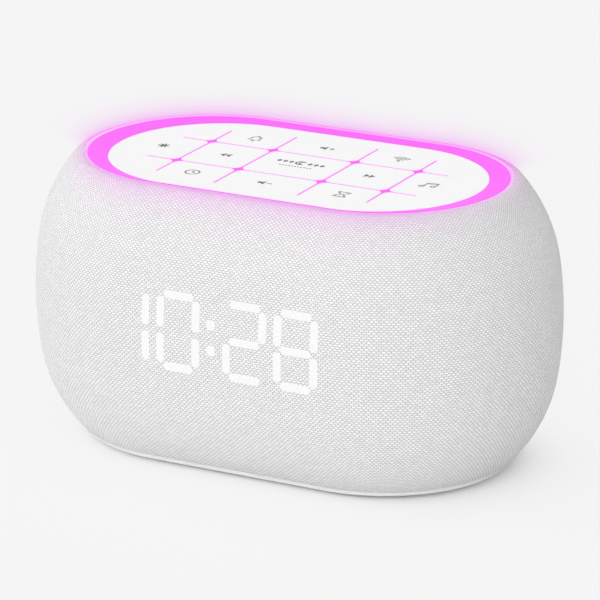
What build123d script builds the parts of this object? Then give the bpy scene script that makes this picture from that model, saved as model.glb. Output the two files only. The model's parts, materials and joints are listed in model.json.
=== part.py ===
from build123d import *
import os
from math import asin, cos, degrees, radians, sin

# Bedside white noise machine with a clock, a light ring and eleven top keys.
# Millimetres, +Z up, front at -Y, long way along X. The origin is under the middle of
# the body, on the surface that the rubber feet stand on.

# ------------------------------------------------------------------ driving dimensions
# body, over the cloth
body_length = 155.0
body_width = 100.0
foot_stand = 1.3            # feet below the base plate
base_height = 1.6           # bare band of the base plate
cloth_height = 79.2         # from the base band to the rim
belly_level = 41.9          # height of the widest line
belly_radius = 113.0        # flat arc across the belly, seen from the end
belly_half_height = 16.4
rim_inset = 12.5            # rim corner, in from the widest line
rim_round = 4.0
hem_inset = 12.25           # lower corner, in from the widest line
hem_round = 1.2
cloth = 0.5                 # thickness of the woven cover
wall = 2.2                  # cabinet wall
hem_width = 3.0             # cloth turned in under the cabinet
hem_margin = 1.0            # bare wall between the hem and the bottom opening
tuck_gap = 0.1              # between the turned-in hem and the ring

# light ring and deck
ring_set_in = 3.0           # ring's outer edge, in from the rim corner
ring_side = 2.7             # width of the ring along the sides
ring_end = 6.0              # width of the ring at the ends
ring_slope = 0.9            # the ring falls this much towards the deck
ring_wall = 1.0
deck_thickness = 1.6
deck_edge_round = 0.3

# keys
snooze_width = 25.9         # between slot centre lines
side_key_width = 19.65
row_width = 20.8
slot = 0.65                 # gap between keys
key_corner = 2.3
rib_clearance = 0.09        # light guide rib to key
seam_set_in = 6.75          # middle keys' hinge line, in from the deck's edge
seam_skew = 2.7             # how much further in the outer hinge lines end
end_seam_set_in = 13.9
nub_radius = 1.6
nub_set_in = 3.2            # nub centre, in from the slot
hook_length = 3.0
hook_thickness = 1.2
hook_barb = 0.8
hook_clearance = 0.3
hook_place = 6.0            # hooks, off the key's middle line
rib_set_down = 0.04
guide_clearance = 0.1
ring_land = 0.35

# stack under the keys
key_gap = 0.7               # keys above the light guide plate
guide_plate = 1.0
nub_reach = 1.7             # nubs below the light guide plate
switch_size = 6.0
switch_body = 3.4
switch_total = 4.3
stem_radius = 1.7
stem_bore = 2.0
stem_depth = 1.8            # bore in the switch body
stem_length = 2.1
switch_corner = 0.5
board = 1.6
tray_floor = 1.8
tray_wall = 1.05
tray_clearance = 0.05
frame_wall = 1.6
frame_ledge = 1.5
frame_under_ring = 0.26
frame_boss_in = 2.5         # boss centres, in from the frame's inner face
ring_stand = 3.1            # ring above the key board
tray_foot = 4.0             # tray bosses below its floor
lug_thickness = 2.5
lug_width = 8.0
lug_margin = 4.0            # lug past its hole, towards the middle
lug_boss_in = 2.0           # tray bosses, in from the key board's edge
boss_radius = 3.0
lug_turn = 40.0             # degrees round the end from the long axis
led_size = 1.2
led_height = 0.7
side_leds = 7               # along each side of the ring
end_leds = 7                # round each end
end_led_turn = 75.0
tray_opening_length = 60.0
tray_opening_width = 36.0

# display
display_level = 45.5
display_width = 68.0
display_height = 26.0
display_gap = 0.05          # mask's front corners to the back of the cloth
display_depth = 7.2
display_round = 3.0
digit_places = (-26.5, -10.9, 9.6, 25.2)
digit_half_width = 5.5      # to the vertical segments' centre lines
digit_half_height = 10.3    # to the horizontal segments' centre lines
segment_width = 2.5
segment_gap = 0.35
colon_size = 3.2
colon_half_pitch = 3.65
colon_place = -0.65
diffuser_depth = 2.0
display_led = 1.6
colon_round = 0.8
display_board_side = 6.0    # board past the mask, at each end
display_board_edge = 2.0    # board past the mask, above and below
display_post_out = 3.0      # posts, out from the mask's ends
display_post_down = 4.5     # posts, in from the board's long edges

# loudspeaker
speaker_port_gap = 1.0      # flange above the port's bezel
speaker_set_in = 10.0       # flange front, in from the widest line
speaker_size = 52.0
flange_hole_in = 4.5        # screw holes, in from the flange's edges
flange = 1.5
seat_set_in = 1.0           # cabinet's seat, in from the flange's edge
seat_width = 2.5
lip_width = 2.0             # surround's lip, on the flange
roll_width = 3.5
basket_depth = 15.0
basket_set_in = 3.0         # basket's rim, in from the flange's edge
basket_foot_radius = 16.0
basket_wall = 1.2
plate = 3.0                 # steel plates of the magnet
plate_radius = 15.0
plate_bore = 7.5
magnet_radius = 16.0
magnet_bore = 9.0
magnet_depth = 8.0
pole_radius = 6.3
coil_inner = 6.6
former = 0.2
former_reach = 2.0          # former behind the top plate
winding = 0.3
winding_margin = 0.3        # bare former behind the winding
winding_length = 6.4
cone_depth = 9.0
cone_thickness = 0.6        # along the axis
paper = 0.5
rubber = 0.4
surround_gap = 0.1          # round the surround's lip, inside the seat
dome_height = 2.6
magnet_chamfer = 0.5
spider_set_in = 1.5         # spider behind the top of the former
spider_thickness = 0.3
spider_waves = 6
wave_height = 0.6
spider_rim = 1.6            # flat rim glued to the basket's ledge
spider_gap = 0.4            # round the rim, inside the basket
ledge_width = 2.5
ledge_thickness = 1.0
basket_floor_bore = 8.0
basket_window = 16.0
window_margin = 1.0
flange_corner = 6.0
terminal_width = 8.0
terminal_depth = 2.4
terminal_stand = 2.5        # terminal's foot, below the basket
terminal_height = 3.0
grille_slots = 9
grille_slot = 2.4
grille_margin = 2.1         # outer slots, in from the flange's opening

# ports, base and fasteners
port_level = 13.0
port_width = 26.0
port_height = 11.0
port_round = 2.5
port_set_in = 10.5          # floor of the port well, in from the widest line
port_floor_thickness = 2.0
port_wall = 2.0
well_round = 1.5
socket_width = 8.94
socket_height = 3.26
socket_depth = 7.35
socket_round = 1.4
socket_skin = 0.3
socket_back = 1.0
tongue_width = 6.7
tongue_thickness = 0.7
rail_thickness = 2.0
port_board_width = 22.0
port_board_depth = 12.5
rail_width = 3.0
base_edge_in = 0.4          # base band's foot, in from its top
base_hem_in = 0.75          # base band's top, in from the cloth's lower corner
base_lip = 1.5
base_lip_height = 3.6
lip_gap = 0.2               # lip to the cabinet's bottom opening
lip_clearance = 0.5         # cabinet ribs above the lip
base_boss_height = 2.1
base_boss_radius = 4.0
cabinet_boss_radius = 3.5
foot_radius = 6.0
foot_thickness = 2.0
foot_set_in = 23.0          # feet's centres, in from the widest line
foot_turn = 45.0
screw_radius = 1.3
screw_head_radius = 2.4
screw_head = 1.5
screw_length = 6.0
base_screw_length = 9.0
base_round = 0.5
foot_round = 0.3
cabinet_boss_height = 12.0
main_board_length = 78.0
main_board_width = 42.0
main_board_level = 8.0
post_radius = 2.8
main_post_in = 4.5          # posts, in from the main board's edges
cell_place = (22.0, 2.0)
cell_radius = 10.0
cell_thickness = 3.2
cell_chamfer = 0.3
cup_wall = 1.0
connector_height = 2.0
connector_depth = 4.0
connector_margin = 3.0      # connector longer than its ribbon is wide
lead_connector = 8.0
chips = [((-4.0, 0.0), 10.0), ((-4.0, -14.0), 6.0)]
chip_height = 1.2
radio_place = (-24.0, 8.0)
radio_can = (14.0, 12.0, 2.4)
capacitor_places = [(5.0, -14.0), (9.5, 10.0), (-14.0, -15.0)]
capacitor_radius = 3.0
capacitor_height = 7.0

# ribbons and leads
ribbon = 0.3                # thickness
ribbon_width = 10.0
ribbon_bend = 5.0
key_ribbon_place = (-20.0, -8.0)
key_ribbon_shift = 7.0      # key board's end of the ribbon, further to the front
key_ribbon_drop = 26.0      # straight part under the key board
key_ribbon_slope = 10.0     # height of the slanted part
display_ribbon_place = (20.0, -16.0)
display_ribbon_down = 8.0   # ribbon's start, below the display's middle
display_ribbon_out = 9.0    # straight part behind the display board
display_ribbon_slope = 12.0
power_lead_place = -9.0
power_lead_width = 4.0
power_lead_bend = 1.0
power_lead_foot = 3.0       # length lying on each board
power_lead_step = 1.0       # past each board's edge
lead_place = (0.0, 16.0)
lead_pitch = 4.0
lead_radius = 0.6
lead_bend = 2.5
lead_drop = 8.0

# ------------------------------------------------------------------ derived places
end_radius = body_width / 2
half_straight = (body_length - body_width) / 2
base_top = foot_stand + base_height
rim_level = base_top + cloth_height
ring_radius = end_radius - rim_inset - ring_set_in
deck_radius = ring_radius - ring_side
deck_half = half_straight + ring_radius - ring_end - deck_radius
deck_top = rim_level - ring_slope
deck_low = deck_top - deck_thickness
guide_top = deck_low - key_gap
guide_low = guide_top - guide_plate
nub_low = guide_low - nub_reach
board_top = nub_low - switch_total
board_low = board_top - board
tray_low = board_low - tray_floor
ring_low = board_top + ring_stand
tray_boss_low = tray_low - tray_foot
lug_low = tray_boss_low - lug_thickness
ring_inner = ring_radius - ring_wall
board_radius = ring_radius - tray_wall - tray_clearance
frame_radius = deck_radius + frame_under_ring
frame_inner = deck_radius - frame_wall

column_in = snooze_width / 2
column_out = column_in + side_key_width
row = row_width / 2
seam = deck_radius - seam_set_in
seam_out = seam - seam_skew
end_seam = deck_half + deck_radius - end_seam_set_in
half_slot = slot / 2

# the cloth falls away from the mask's front at the ends and above the belly
mask_past_straight = max(0.0, display_width / 2 - half_straight)
mask_above_belly = display_level + display_height / 2 - belly_level
end_fall = end_radius - (end_radius**2 - mask_past_straight**2) ** 0.5
belly_fall = belly_radius - (belly_radius**2 - mask_above_belly**2) ** 0.5
display_front = -(end_radius - cloth - end_fall - belly_fall - display_gap)
display_back = display_front + display_depth
display_board_width = display_width + 2 * display_board_side
display_board_height = display_height + 2 * display_board_edge
speaker_radius = speaker_size / 2
speaker_level = port_level + port_height / 2 + speaker_port_gap + speaker_radius
speaker_hole_half = speaker_radius - flange_hole_in
seat_radius = speaker_radius - seat_set_in
seat_opening = seat_radius - seat_width
flange_opening = seat_opening - lip_width
cone_edge_radius = flange_opening - roll_width
basket_rim_radius = speaker_radius - basket_set_in
grille_pitch = 2 * (flange_opening - grille_margin) / (grille_slots - 1)
speaker_face = end_radius - speaker_set_in
basket_floor = speaker_face - flange - basket_depth
coil_top = speaker_face - cone_depth
spider_level = coil_top - spider_set_in
port_floor = end_radius - port_set_in

hem_radius = end_radius - hem_inset
base_radius = hem_radius - base_hem_in
bottom_opening = base_radius - hem_width - hem_margin
foot_reach = end_radius - foot_set_in
foot_x = half_straight + foot_reach * cos(radians(foot_turn))
foot_y = foot_reach * sin(radians(foot_turn))
foot_places = [(x, y) for x in (-foot_x, foot_x) for y in (-foot_y, foot_y)]
lug_reach = board_radius - lug_boss_in
lug_x = half_straight + lug_reach * cos(radians(lug_turn))
lug_y = lug_reach * sin(radians(lug_turn))
lug_places = [(x, y) for x in (-lug_x, lug_x) for y in (-lug_y, lug_y)]
base_boss_top = base_top + base_boss_height

os.makedirs("parts", exist_ok=True)


def save(part, name):
    """Label a finished piece and write its STEP file."""
    part.label = name
    export_step(part, f"parts/{name}.step")


# ------------------------------------------------------------------ shared shapes
belly_turn = asin(belly_half_height / belly_radius)
belly_centre = Vector(end_radius - belly_radius, belly_level)


def shoulder(corner, side):
    """Centre and radius of the arc that runs from the belly arc to a corner."""
    normal = Vector(cos(belly_turn), side * sin(belly_turn))
    start = belly_centre + normal * belly_radius
    run = corner - start
    radius = -run.dot(run) / (2 * run.dot(normal))
    return start - normal * radius, radius


def body_section(inset, rounded=False):
    """Half section of the body: outwards along Y, up along Z, set in from the cloth."""
    low = base_top + inset
    high = rim_level - inset
    high_centre, high_radius = shoulder(Vector(end_radius - rim_inset, rim_level), 1)
    low_centre, low_radius = shoulder(Vector(hem_radius, base_top), -1)
    high_angle = degrees(asin((high - high_centre.Y) / (high_radius - inset)))
    low_angle = degrees(asin((low - low_centre.Y) / (low_radius - inset)))
    turn = degrees(belly_turn)
    with BuildSketch(Plane.YZ) as section:
        with BuildLine():
            lower = CenterArc(low_centre, low_radius - inset, low_angle, -turn - low_angle)
            CenterArc(belly_centre, belly_radius - inset, -turn, 2 * turn)
            upper = CenterArc(high_centre, high_radius - inset, turn, high_angle - turn)
            Polyline(upper @ 1, (0, high), (0, low), lower @ 0)
        make_face()
        if rounded:
            off_axis = section.vertices().filter_by(lambda point: point.X > 1)
            corners = off_axis.sort_by(Axis.Y)
            fillet(corners[0], radius=hem_round - inset)
            fillet(corners[-1], radius=rim_round - inset)
    return section.sketch


def carry_round(section):
    """Solid of a half section carried along both sides and round both ends."""
    with BuildPart() as solid:
        extrude(section, amount=half_straight, both=True)
        mirror(about=Plane.XZ)
        for side in (1, -1):
            turn_axis = Axis((side * half_straight, 0, 0), (0, 0, -side))
            moved = section.moved(Location((side * half_straight, 0, 0)))
            revolve(moved, axis=turn_axis, revolution_arc=180)
    return solid.part


def oval_band(half, radius, inner_half, inner_radius):
    """Flat oval ring between two ovals, for use inside a sketch."""
    SlotCenterToCenter(2 * half, 2 * radius)
    SlotCenterToCenter(2 * inner_half, 2 * inner_radius, mode=Mode.SUBTRACT)


def screw(head_face):
    """Pan-head screw: its head stands on a plane's back, its shank goes along the normal."""
    with BuildPart() as fastener:
        with BuildSketch(head_face):
            Circle(screw_head_radius)
        extrude(amount=-screw_head)
        with BuildSketch(head_face):
            Circle(screw_radius)
        extrude(amount=screw_length)
    return fastener.part


body_outside = carry_round(body_section(0, rounded=True))
body_under_cloth = carry_round(body_section(cloth, rounded=True))
body_mid_wall = carry_round(body_section(cloth + wall / 2))
body_inside = carry_round(body_section(cloth + wall))

with BuildPart() as port_block:
    with BuildSketch(Plane.XZ.offset(port_floor_thickness - port_floor)):
        with Locations((0, port_level)):
            RectangleRounded(port_width, port_height, port_round)
    extrude(amount=port_floor - port_floor_thickness - end_radius)

# ------------------------------------------------------------------ cloth cover
# One sleeve of cloth. Its hems are turned in over the rim, down beside the ring, and
# under the cabinet's lower edge, where the base plate pinches them.
tuck_inner = ring_radius + tuck_gap
tuck_outer = tuck_inner + cloth
rim_flange_low = rim_level - cloth - wall

with BuildPart() as fabric_sleeve:
    add(body_outside)
    add(body_under_cloth, mode=Mode.SUBTRACT)
    with BuildSketch(Plane.XY.offset(rim_flange_low)):
        SlotCenterToCenter(2 * half_straight, 2 * tuck_inner)
    extrude(amount=rim_level - rim_flange_low, mode=Mode.SUBTRACT)
    with BuildSketch(Plane.XY.offset(rim_flange_low)):
        oval_band(half_straight, tuck_outer, half_straight, tuck_inner)
    extrude(amount=rim_level - cloth - rim_flange_low)
    with BuildSketch(Plane.XY.offset(base_top)):
        SlotCenterToCenter(2 * half_straight, 2 * (base_radius - hem_width))
    extrude(amount=wall, mode=Mode.SUBTRACT)
    add(port_block.part, mode=Mode.SUBTRACT)
save(fabric_sleeve.part, "fabric_sleeve")

# ------------------------------------------------------------------ cabinet shell
post_x = display_width / 2 + display_post_out
post_z = display_board_height / 2 - display_post_down
digit_board_posts = [
    (x, display_level + z) for x in (-post_x, post_x) for z in (-post_z, post_z)
]
flange_corners = [
    (x, speaker_level + z)
    for x in (-speaker_hole_half, speaker_hole_half)
    for z in (-speaker_hole_half, speaker_hole_half)
]
lug_length = end_radius - lug_reach + lug_margin
lug_middle = end_radius - lug_length / 2
rib_middle = end_radius - foot_set_in / 2

with BuildPart() as cabinet_fittings:
    # loudspeaker seat and its four screw posts
    with BuildSketch(Plane.XZ.offset(-speaker_face)):
        with Locations((0, speaker_level)):
            Circle(seat_radius)
            Circle(seat_opening, mode=Mode.SUBTRACT)
        with Locations(*flange_corners):
            Circle(boss_radius)
    extrude(amount=speaker_face - end_radius)
    # display board posts
    with BuildSketch(Plane.XZ.offset(-display_back)):
        with Locations(*digit_board_posts):
            Circle(post_radius)
    extrude(amount=end_radius + display_back)
    # lugs under the top tray
    with BuildSketch(Plane.XY.offset(lug_low)):
        for side_x in (-1, 1):
            for side_y in (-1, 1):
                turn = side_x * side_y * lug_turn
                middle_x = side_x * (half_straight + lug_middle * cos(radians(lug_turn)))
                middle_y = side_y * lug_middle * sin(radians(lug_turn))
                with Locations((middle_x, middle_y)):
                    Rectangle(lug_length, lug_width, rotation=turn)
    extrude(amount=lug_thickness)
    # bosses for the base screws, each with a rib out to the wall
    with BuildSketch(Plane.XY.offset(base_boss_top)):
        with Locations(*foot_places):
            Circle(cabinet_boss_radius)
    extrude(amount=cabinet_boss_height)
    with BuildSketch(Plane.XY.offset(base_top + base_lip_height + lip_clearance)):
        for side_x in (-1, 1):
            for side_y in (-1, 1):
                middle_x = side_x * (half_straight + rib_middle * cos(radians(foot_turn)))
                middle_y = side_y * rib_middle * sin(radians(foot_turn))
                with Locations((middle_x, middle_y)):
                    Rectangle(foot_set_in, wall, rotation=side_x * side_y * foot_turn)
    extrude(amount=cabinet_boss_height - base_lip_height)
    add(body_mid_wall, mode=Mode.INTERSECT)

with BuildPart() as cabinet_shell:
    add(body_under_cloth)
    add(body_inside, mode=Mode.SUBTRACT)
    # openings in the rim and the floor
    with BuildSketch(Plane.XY.offset(rim_flange_low)):
        SlotCenterToCenter(2 * half_straight, 2 * tuck_outer)
    extrude(amount=cloth + wall, mode=Mode.SUBTRACT)
    with BuildSketch(Plane.XY.offset(base_top)):
        SlotCenterToCenter(2 * half_straight, 2 * bottom_opening)
    extrude(amount=cloth + wall, mode=Mode.SUBTRACT)
    add(cabinet_fittings.part)
    # display window, loudspeaker slots and port opening
    with BuildSketch(Plane.XZ.offset(-display_back)):
        with Locations((0, display_level)):
            RectangleRounded(display_width, display_height, display_round)
    extrude(amount=end_radius + display_back, mode=Mode.SUBTRACT)
    with BuildSketch(Plane.XZ.offset(-speaker_face)):
        for index in range(grille_slots):
            place = (index - (grille_slots - 1) / 2) * grille_pitch
            reach = (flange_opening**2 - place**2) ** 0.5
            with Locations((place, speaker_level)):
                SlotOverall(2 * reach, grille_slot, rotation=90)
    extrude(amount=speaker_face - end_radius, mode=Mode.SUBTRACT)
    add(port_block.part, mode=Mode.SUBTRACT)
    # pilot holes
    with BuildSketch(Plane.XZ.offset(-speaker_face)):
        with Locations(*flange_corners):
            Circle(screw_radius)
    extrude(amount=flange - screw_length, mode=Mode.SUBTRACT)
    with BuildSketch(Plane.XZ.offset(-display_back)):
        with Locations(*digit_board_posts):
            Circle(screw_radius)
    extrude(amount=screw_length - board, mode=Mode.SUBTRACT)
    with BuildSketch(Plane.XY.offset(lug_low)):
        with Locations(*lug_places):
            Circle(screw_radius)
    extrude(amount=lug_thickness, mode=Mode.SUBTRACT)
    with BuildSketch(Plane.XY.offset(base_boss_top)):
        with Locations(*foot_places):
            Circle(screw_radius)
    extrude(amount=base_screw_length, mode=Mode.SUBTRACT)
save(cabinet_shell.part, "cabinet_shell")

# ------------------------------------------------------------------ base, feet, screws
main_board_posts = [
    (x, y)
    for x in (main_post_in - main_board_length / 2, main_board_length / 2 - main_post_in)
    for y in (main_post_in - main_board_width / 2, main_board_width / 2 - main_post_in)
]

with BuildSketch(Plane.YZ) as base_section:
    with BuildLine():
        Polyline(
            (0, foot_stand),
            (base_radius - base_edge_in, foot_stand),
            (base_radius, base_top),
            (0, base_top),
            close=True,
        )
    make_face()
    band_edges = base_section.vertices().sort_by(Axis.X)[-2:]
    fillet(band_edges, radius=base_round)

with BuildPart() as base_plate:
    add(carry_round(base_section.sketch))
    with BuildSketch(Plane.XY.offset(base_top)):
        lip_radius = bottom_opening - lip_gap
        oval_band(half_straight, lip_radius, half_straight, lip_radius - base_lip)
    extrude(amount=base_lip_height)
    with BuildSketch(Plane.XY.offset(base_top)):
        with Locations(*foot_places):
            Circle(base_boss_radius)
    extrude(amount=base_boss_top - base_top)
    with BuildSketch(Plane.XY.offset(base_top)):
        with Locations(*main_board_posts):
            Circle(post_radius)
    extrude(amount=main_board_level - base_top)
    # foot pockets, head recesses, screw holes
    with BuildSketch(Plane.XY.offset(foot_stand)):
        with Locations(*foot_places):
            Circle(foot_radius)
    extrude(amount=foot_thickness - foot_stand, mode=Mode.SUBTRACT)
    with BuildSketch(Plane.XY.offset(foot_thickness)):
        with Locations(*foot_places):
            Circle(screw_head_radius)
    extrude(amount=screw_head, mode=Mode.SUBTRACT)
    with BuildSketch(Plane.XY.offset(foot_thickness)):
        with Locations(*foot_places):
            Circle(screw_radius)
    extrude(amount=base_boss_top, mode=Mode.SUBTRACT)
    with BuildSketch(Plane.XY.offset(main_board_level)):
        with Locations(*main_board_posts):
            Circle(screw_radius)
    extrude(amount=board - screw_length, mode=Mode.SUBTRACT)
save(base_plate.part, "base_plate")

with BuildPart() as rubber_feet:
    with BuildSketch():
        with Locations(*foot_places):
            Circle(foot_radius)
    extrude(amount=foot_thickness)
    fillet(rubber_feet.edges().group_by(Axis.Z)[0], radius=foot_round)
save(rubber_feet.part, "rubber_feet")

with BuildPart() as base_screws:
    with BuildSketch(Plane.XY.offset(foot_thickness)):
        with Locations(*foot_places):
            Circle(screw_head_radius)
    extrude(amount=screw_head)
    with BuildSketch(Plane.XY.offset(foot_thickness + screw_head)):
        with Locations(*foot_places):
            Circle(screw_radius)
    extrude(amount=base_screw_length)
save(base_screws.part, "base_screws")

# ------------------------------------------------------------------ power inlet
port_back = port_floor - port_floor_thickness
port_board_top = port_level - socket_height / 2

with BuildPart() as port_bezel:
    add(port_block.part)
    add(body_outside, mode=Mode.INTERSECT)
    with BuildSketch(Plane.XZ.offset(-port_floor)):
        with Locations((0, port_level)):
            RectangleRounded(
                port_width - 2 * port_wall, port_height - 2 * port_wall, well_round
            )
    extrude(amount=port_floor - end_radius, mode=Mode.SUBTRACT)
    with BuildSketch(Plane.XZ.offset(-port_back)):
        with Locations((0, port_level)):
            RectangleRounded(socket_width, socket_height, socket_round)
    extrude(amount=-port_floor_thickness, mode=Mode.SUBTRACT)
    # rails that carry the port board
    with BuildSketch(Plane.XY.offset(port_board_top - board)):
        rail_place = (port_board_width - rail_width) / 2
        with Locations((0, port_back - port_board_depth / 2)):
            with GridLocations(2 * rail_place, 1, 2, 1):
                Rectangle(rail_width, port_board_depth)
    extrude(amount=-rail_thickness)
save(port_bezel.part, "port_bezel")

with BuildPart() as usb_socket:
    with BuildSketch(Plane.XZ.offset(-port_floor)):
        with Locations((0, port_level)):
            RectangleRounded(socket_width, socket_height, socket_round)
    extrude(amount=socket_depth)
    with BuildSketch(Plane.XZ.offset(-port_floor)):
        with Locations((0, port_level)):
            RectangleRounded(
                socket_width - 2 * socket_skin,
                socket_height - 2 * socket_skin,
                socket_round - socket_skin,
            )
            Rectangle(tongue_width, tongue_thickness, mode=Mode.SUBTRACT)
    extrude(amount=socket_depth - socket_back, mode=Mode.SUBTRACT)
save(usb_socket.part, "usb_socket")

with BuildPart() as port_board:
    with BuildSketch(Plane.XY.offset(port_board_top - board)):
        with Locations((0, port_back - port_board_depth / 2)):
            Rectangle(port_board_width, port_board_depth)
    extrude(amount=board)
save(port_board.part, "port_board")

# ------------------------------------------------------------------ light ring and deck
with BuildPart() as light_ring:
    with BuildSketch(Plane.XY.offset(ring_low)):
        SlotCenterToCenter(2 * half_straight, 2 * ring_radius)
    extrude(amount=rim_level - ring_low)
    # the top falls from the rim to the deck
    with BuildSketch(Plane.XY.offset(deck_top)):
        SlotCenterToCenter(2 * deck_half, 2 * deck_radius)
    with BuildSketch(Plane.XY.offset(rim_level)):
        SlotCenterToCenter(2 * half_straight, 2 * (ring_radius - ring_land))
    loft(ruled=True, mode=Mode.SUBTRACT)
    with BuildSketch(Plane.XY.offset(ring_low)):
        SlotCenterToCenter(2 * deck_half, 2 * deck_radius)
    extrude(amount=deck_top - ring_low, mode=Mode.SUBTRACT)
    # channel over the LEDs
    with BuildSketch(Plane.XY.offset(ring_low)):
        SlotCenterToCenter(2 * half_straight, 2 * ring_inner)
    extrude(amount=deck_low - ring_low, mode=Mode.SUBTRACT)
save(light_ring.part, "light_ring")


def outline(points, rounded):
    """Closed outline through the points, with the corners at some of them rounded."""
    with BuildSketch() as shape:
        with BuildLine():
            Polyline(*points, close=True)
        make_face()
        corners = [shape.vertices().sort_by_distance((x, y, 0))[0] for x, y in rounded]
        fillet(corners, radius=key_corner)
    return shape.sketch


def captive_key(low, high):
    """Key that slots bound on all four sides."""
    x0, x1 = low + half_slot, high - half_slot
    y = row - half_slot
    points = [(x0, -y), (x1, -y), (x1, y), (x0, y)]
    return {"outline": outline(points, points), "nub": ((x0 + x1) / 2, 0), "captive": True}


def end_key(side):
    """Key at an end of the deck, hinged on the side away from the middle."""
    inner, outer = side * (column_out + half_slot), side * end_seam
    y = row - half_slot
    points = [(inner, -y), (outer, -y), (outer, y), (inner, y)]
    nub = (side * (column_out + half_slot + nub_set_in), 0)
    return {"outline": outline(points, [points[0], points[3]]), "nub": nub, "captive": False}


def side_key(low, high, low_seam, high_seam, side):
    """Key along a long side of the deck, hinged on its outer edge."""
    x0, x1 = low + half_slot, high - half_slot
    inner = side * (row + half_slot)
    points = [(x0, inner), (x1, inner), (x1, side * high_seam), (x0, side * low_seam)]
    nub = ((x0 + x1) / 2, inner + side * nub_set_in)
    return {"outline": outline(points, points[:2]), "nub": nub, "captive": False}


keys = {
    "back": captive_key(-column_out, -column_in),
    "snooze": captive_key(-column_in, column_in),
    "next": captive_key(column_in, column_out),
    "light": end_key(-1),
    "sounds": end_key(1),
    "alarm": side_key(-column_out, -column_in, seam_out, seam, 1),
    "volume_up": side_key(-column_in, column_in, seam, seam, 1),
    "wireless": side_key(column_in, column_out, seam, seam_out, 1),
    "clock": side_key(-column_out, -column_in, seam_out, seam, -1),
    "volume_down": side_key(-column_in, column_in, seam, seam, -1),
    "timer": side_key(column_in, column_out, seam, seam_out, -1),
}
nub_places = [key["nub"] for key in keys.values()]

# opening of the deck that holds the keys and the slots between them
quarter = [
    (end_seam, row + half_slot),
    (column_out + half_slot, row + half_slot),
    (column_out + half_slot, seam_out),
    (column_out - half_slot, seam_out),
    (column_in + half_slot, seam),
]
window_points = (
    quarter
    + [(-x, y) for x, y in reversed(quarter)]
    + [(-x, -y) for x, y in quarter]
    + [(x, -y) for x, y in reversed(quarter)]
)
outer_crossings = [(sx * quarter[1][0], sy * quarter[1][1]) for sx in (-1, 1) for sy in (-1, 1)]
window = outline(window_points, outer_crossings)

with BuildPart() as key_deck:
    with BuildSketch(Plane.XY.offset(deck_low)):
        SlotCenterToCenter(2 * deck_half, 2 * deck_radius)
    extrude(amount=deck_thickness)
    fillet(key_deck.edges().group_by(Axis.Z)[-1], radius=deck_edge_round)
    with BuildSketch(Plane.XY.offset(deck_low)):
        add(window)
    extrude(amount=deck_thickness, mode=Mode.SUBTRACT)
save(key_deck.part, "key_deck")

# ------------------------------------------------------------------ keys
hook_places = [
    (x, y)
    for x in (key["nub"][0] for key in keys.values() if key["captive"])
    for y in (-hook_place, hook_place)
]

for name, key in keys.items():
    with BuildPart() as key_cap:
        with BuildSketch(Plane.XY.offset(deck_low)):
            add(key["outline"])
        extrude(amount=deck_thickness)
        with BuildSketch(Plane.XY.offset(nub_low)):
            with Locations(key["nub"]):
                Circle(nub_radius)
        extrude(amount=deck_low - nub_low)
        if key["captive"]:
            # two hooks hold the key down under the light guide plate
            for x, y in hook_places:
                if x != key["nub"][0]:
                    continue
                outward = 1 if y > 0 else -1
                with BuildSketch(Plane.XY.offset(guide_low - hook_barb)):
                    with Locations((x, y)):
                        Rectangle(hook_length, hook_thickness)
                extrude(amount=deck_low - guide_low + hook_barb)
                with BuildSketch(Plane.XY.offset(guide_low - hook_barb)):
                    with Locations((x, y + outward * hook_barb / 2)):
                        Rectangle(hook_length, hook_thickness + hook_barb)
                extrude(amount=hook_barb)
    save(key_cap.part, f"key_{name}")

# ------------------------------------------------------------------ light guide
rib_field = offset(window, amount=-rib_clearance, kind=Kind.INTERSECTION)
for key in keys.values():
    rib_field -= offset(key["outline"], amount=rib_clearance, kind=Kind.INTERSECTION)

with BuildPart() as light_guide:
    with BuildSketch(Plane.XY.offset(guide_low)):
        SlotCenterToCenter(2 * deck_half, 2 * (frame_inner - guide_clearance))
        with Locations(*nub_places):
            Circle(nub_radius + hook_clearance, mode=Mode.SUBTRACT)
        with Locations(*hook_places):
            Rectangle(
                hook_length + 2 * hook_clearance,
                hook_thickness + 2 * hook_clearance,
                mode=Mode.SUBTRACT,
            )
    extrude(amount=guide_plate)
    with BuildSketch(Plane.XY.offset(guide_top)):
        add(rib_field)
    extrude(amount=deck_top - rib_set_down - guide_top)
save(light_guide.part, "light_guide")

# ------------------------------------------------------------------ frame and tray
frame_boss_reach = frame_inner - frame_boss_in
frame_boss_x = deck_half + frame_boss_reach * cos(radians(lug_turn))
frame_boss_y = frame_boss_reach * sin(radians(lug_turn))
frame_bosses = [(x, y) for x in (-frame_boss_x, frame_boss_x) for y in (-frame_boss_y, frame_boss_y)]
frame_bosses += [(0, -frame_boss_reach), (0, frame_boss_reach)]

with BuildPart() as guide_frame:
    with BuildSketch(Plane.XY.offset(board_top)):
        oval_band(deck_half, frame_radius, deck_half, frame_inner)
    extrude(amount=deck_low - board_top)
    with BuildSketch(Plane.XY.offset(guide_low)):
        oval_band(deck_half, frame_inner, deck_half, frame_inner - frame_ledge)
    extrude(amount=-frame_ledge)
    with BuildSketch(Plane.XY.offset(board_top)):
        with Locations(*frame_bosses):
            Circle(boss_radius)
    extrude(amount=guide_low - frame_ledge - board_top)
    with BuildSketch(Plane.XY.offset(board_top)):
        with Locations(*frame_bosses):
            Circle(screw_radius)
    extrude(amount=screw_length - board - tray_floor, mode=Mode.SUBTRACT)
save(guide_frame.part, "guide_frame")

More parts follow.
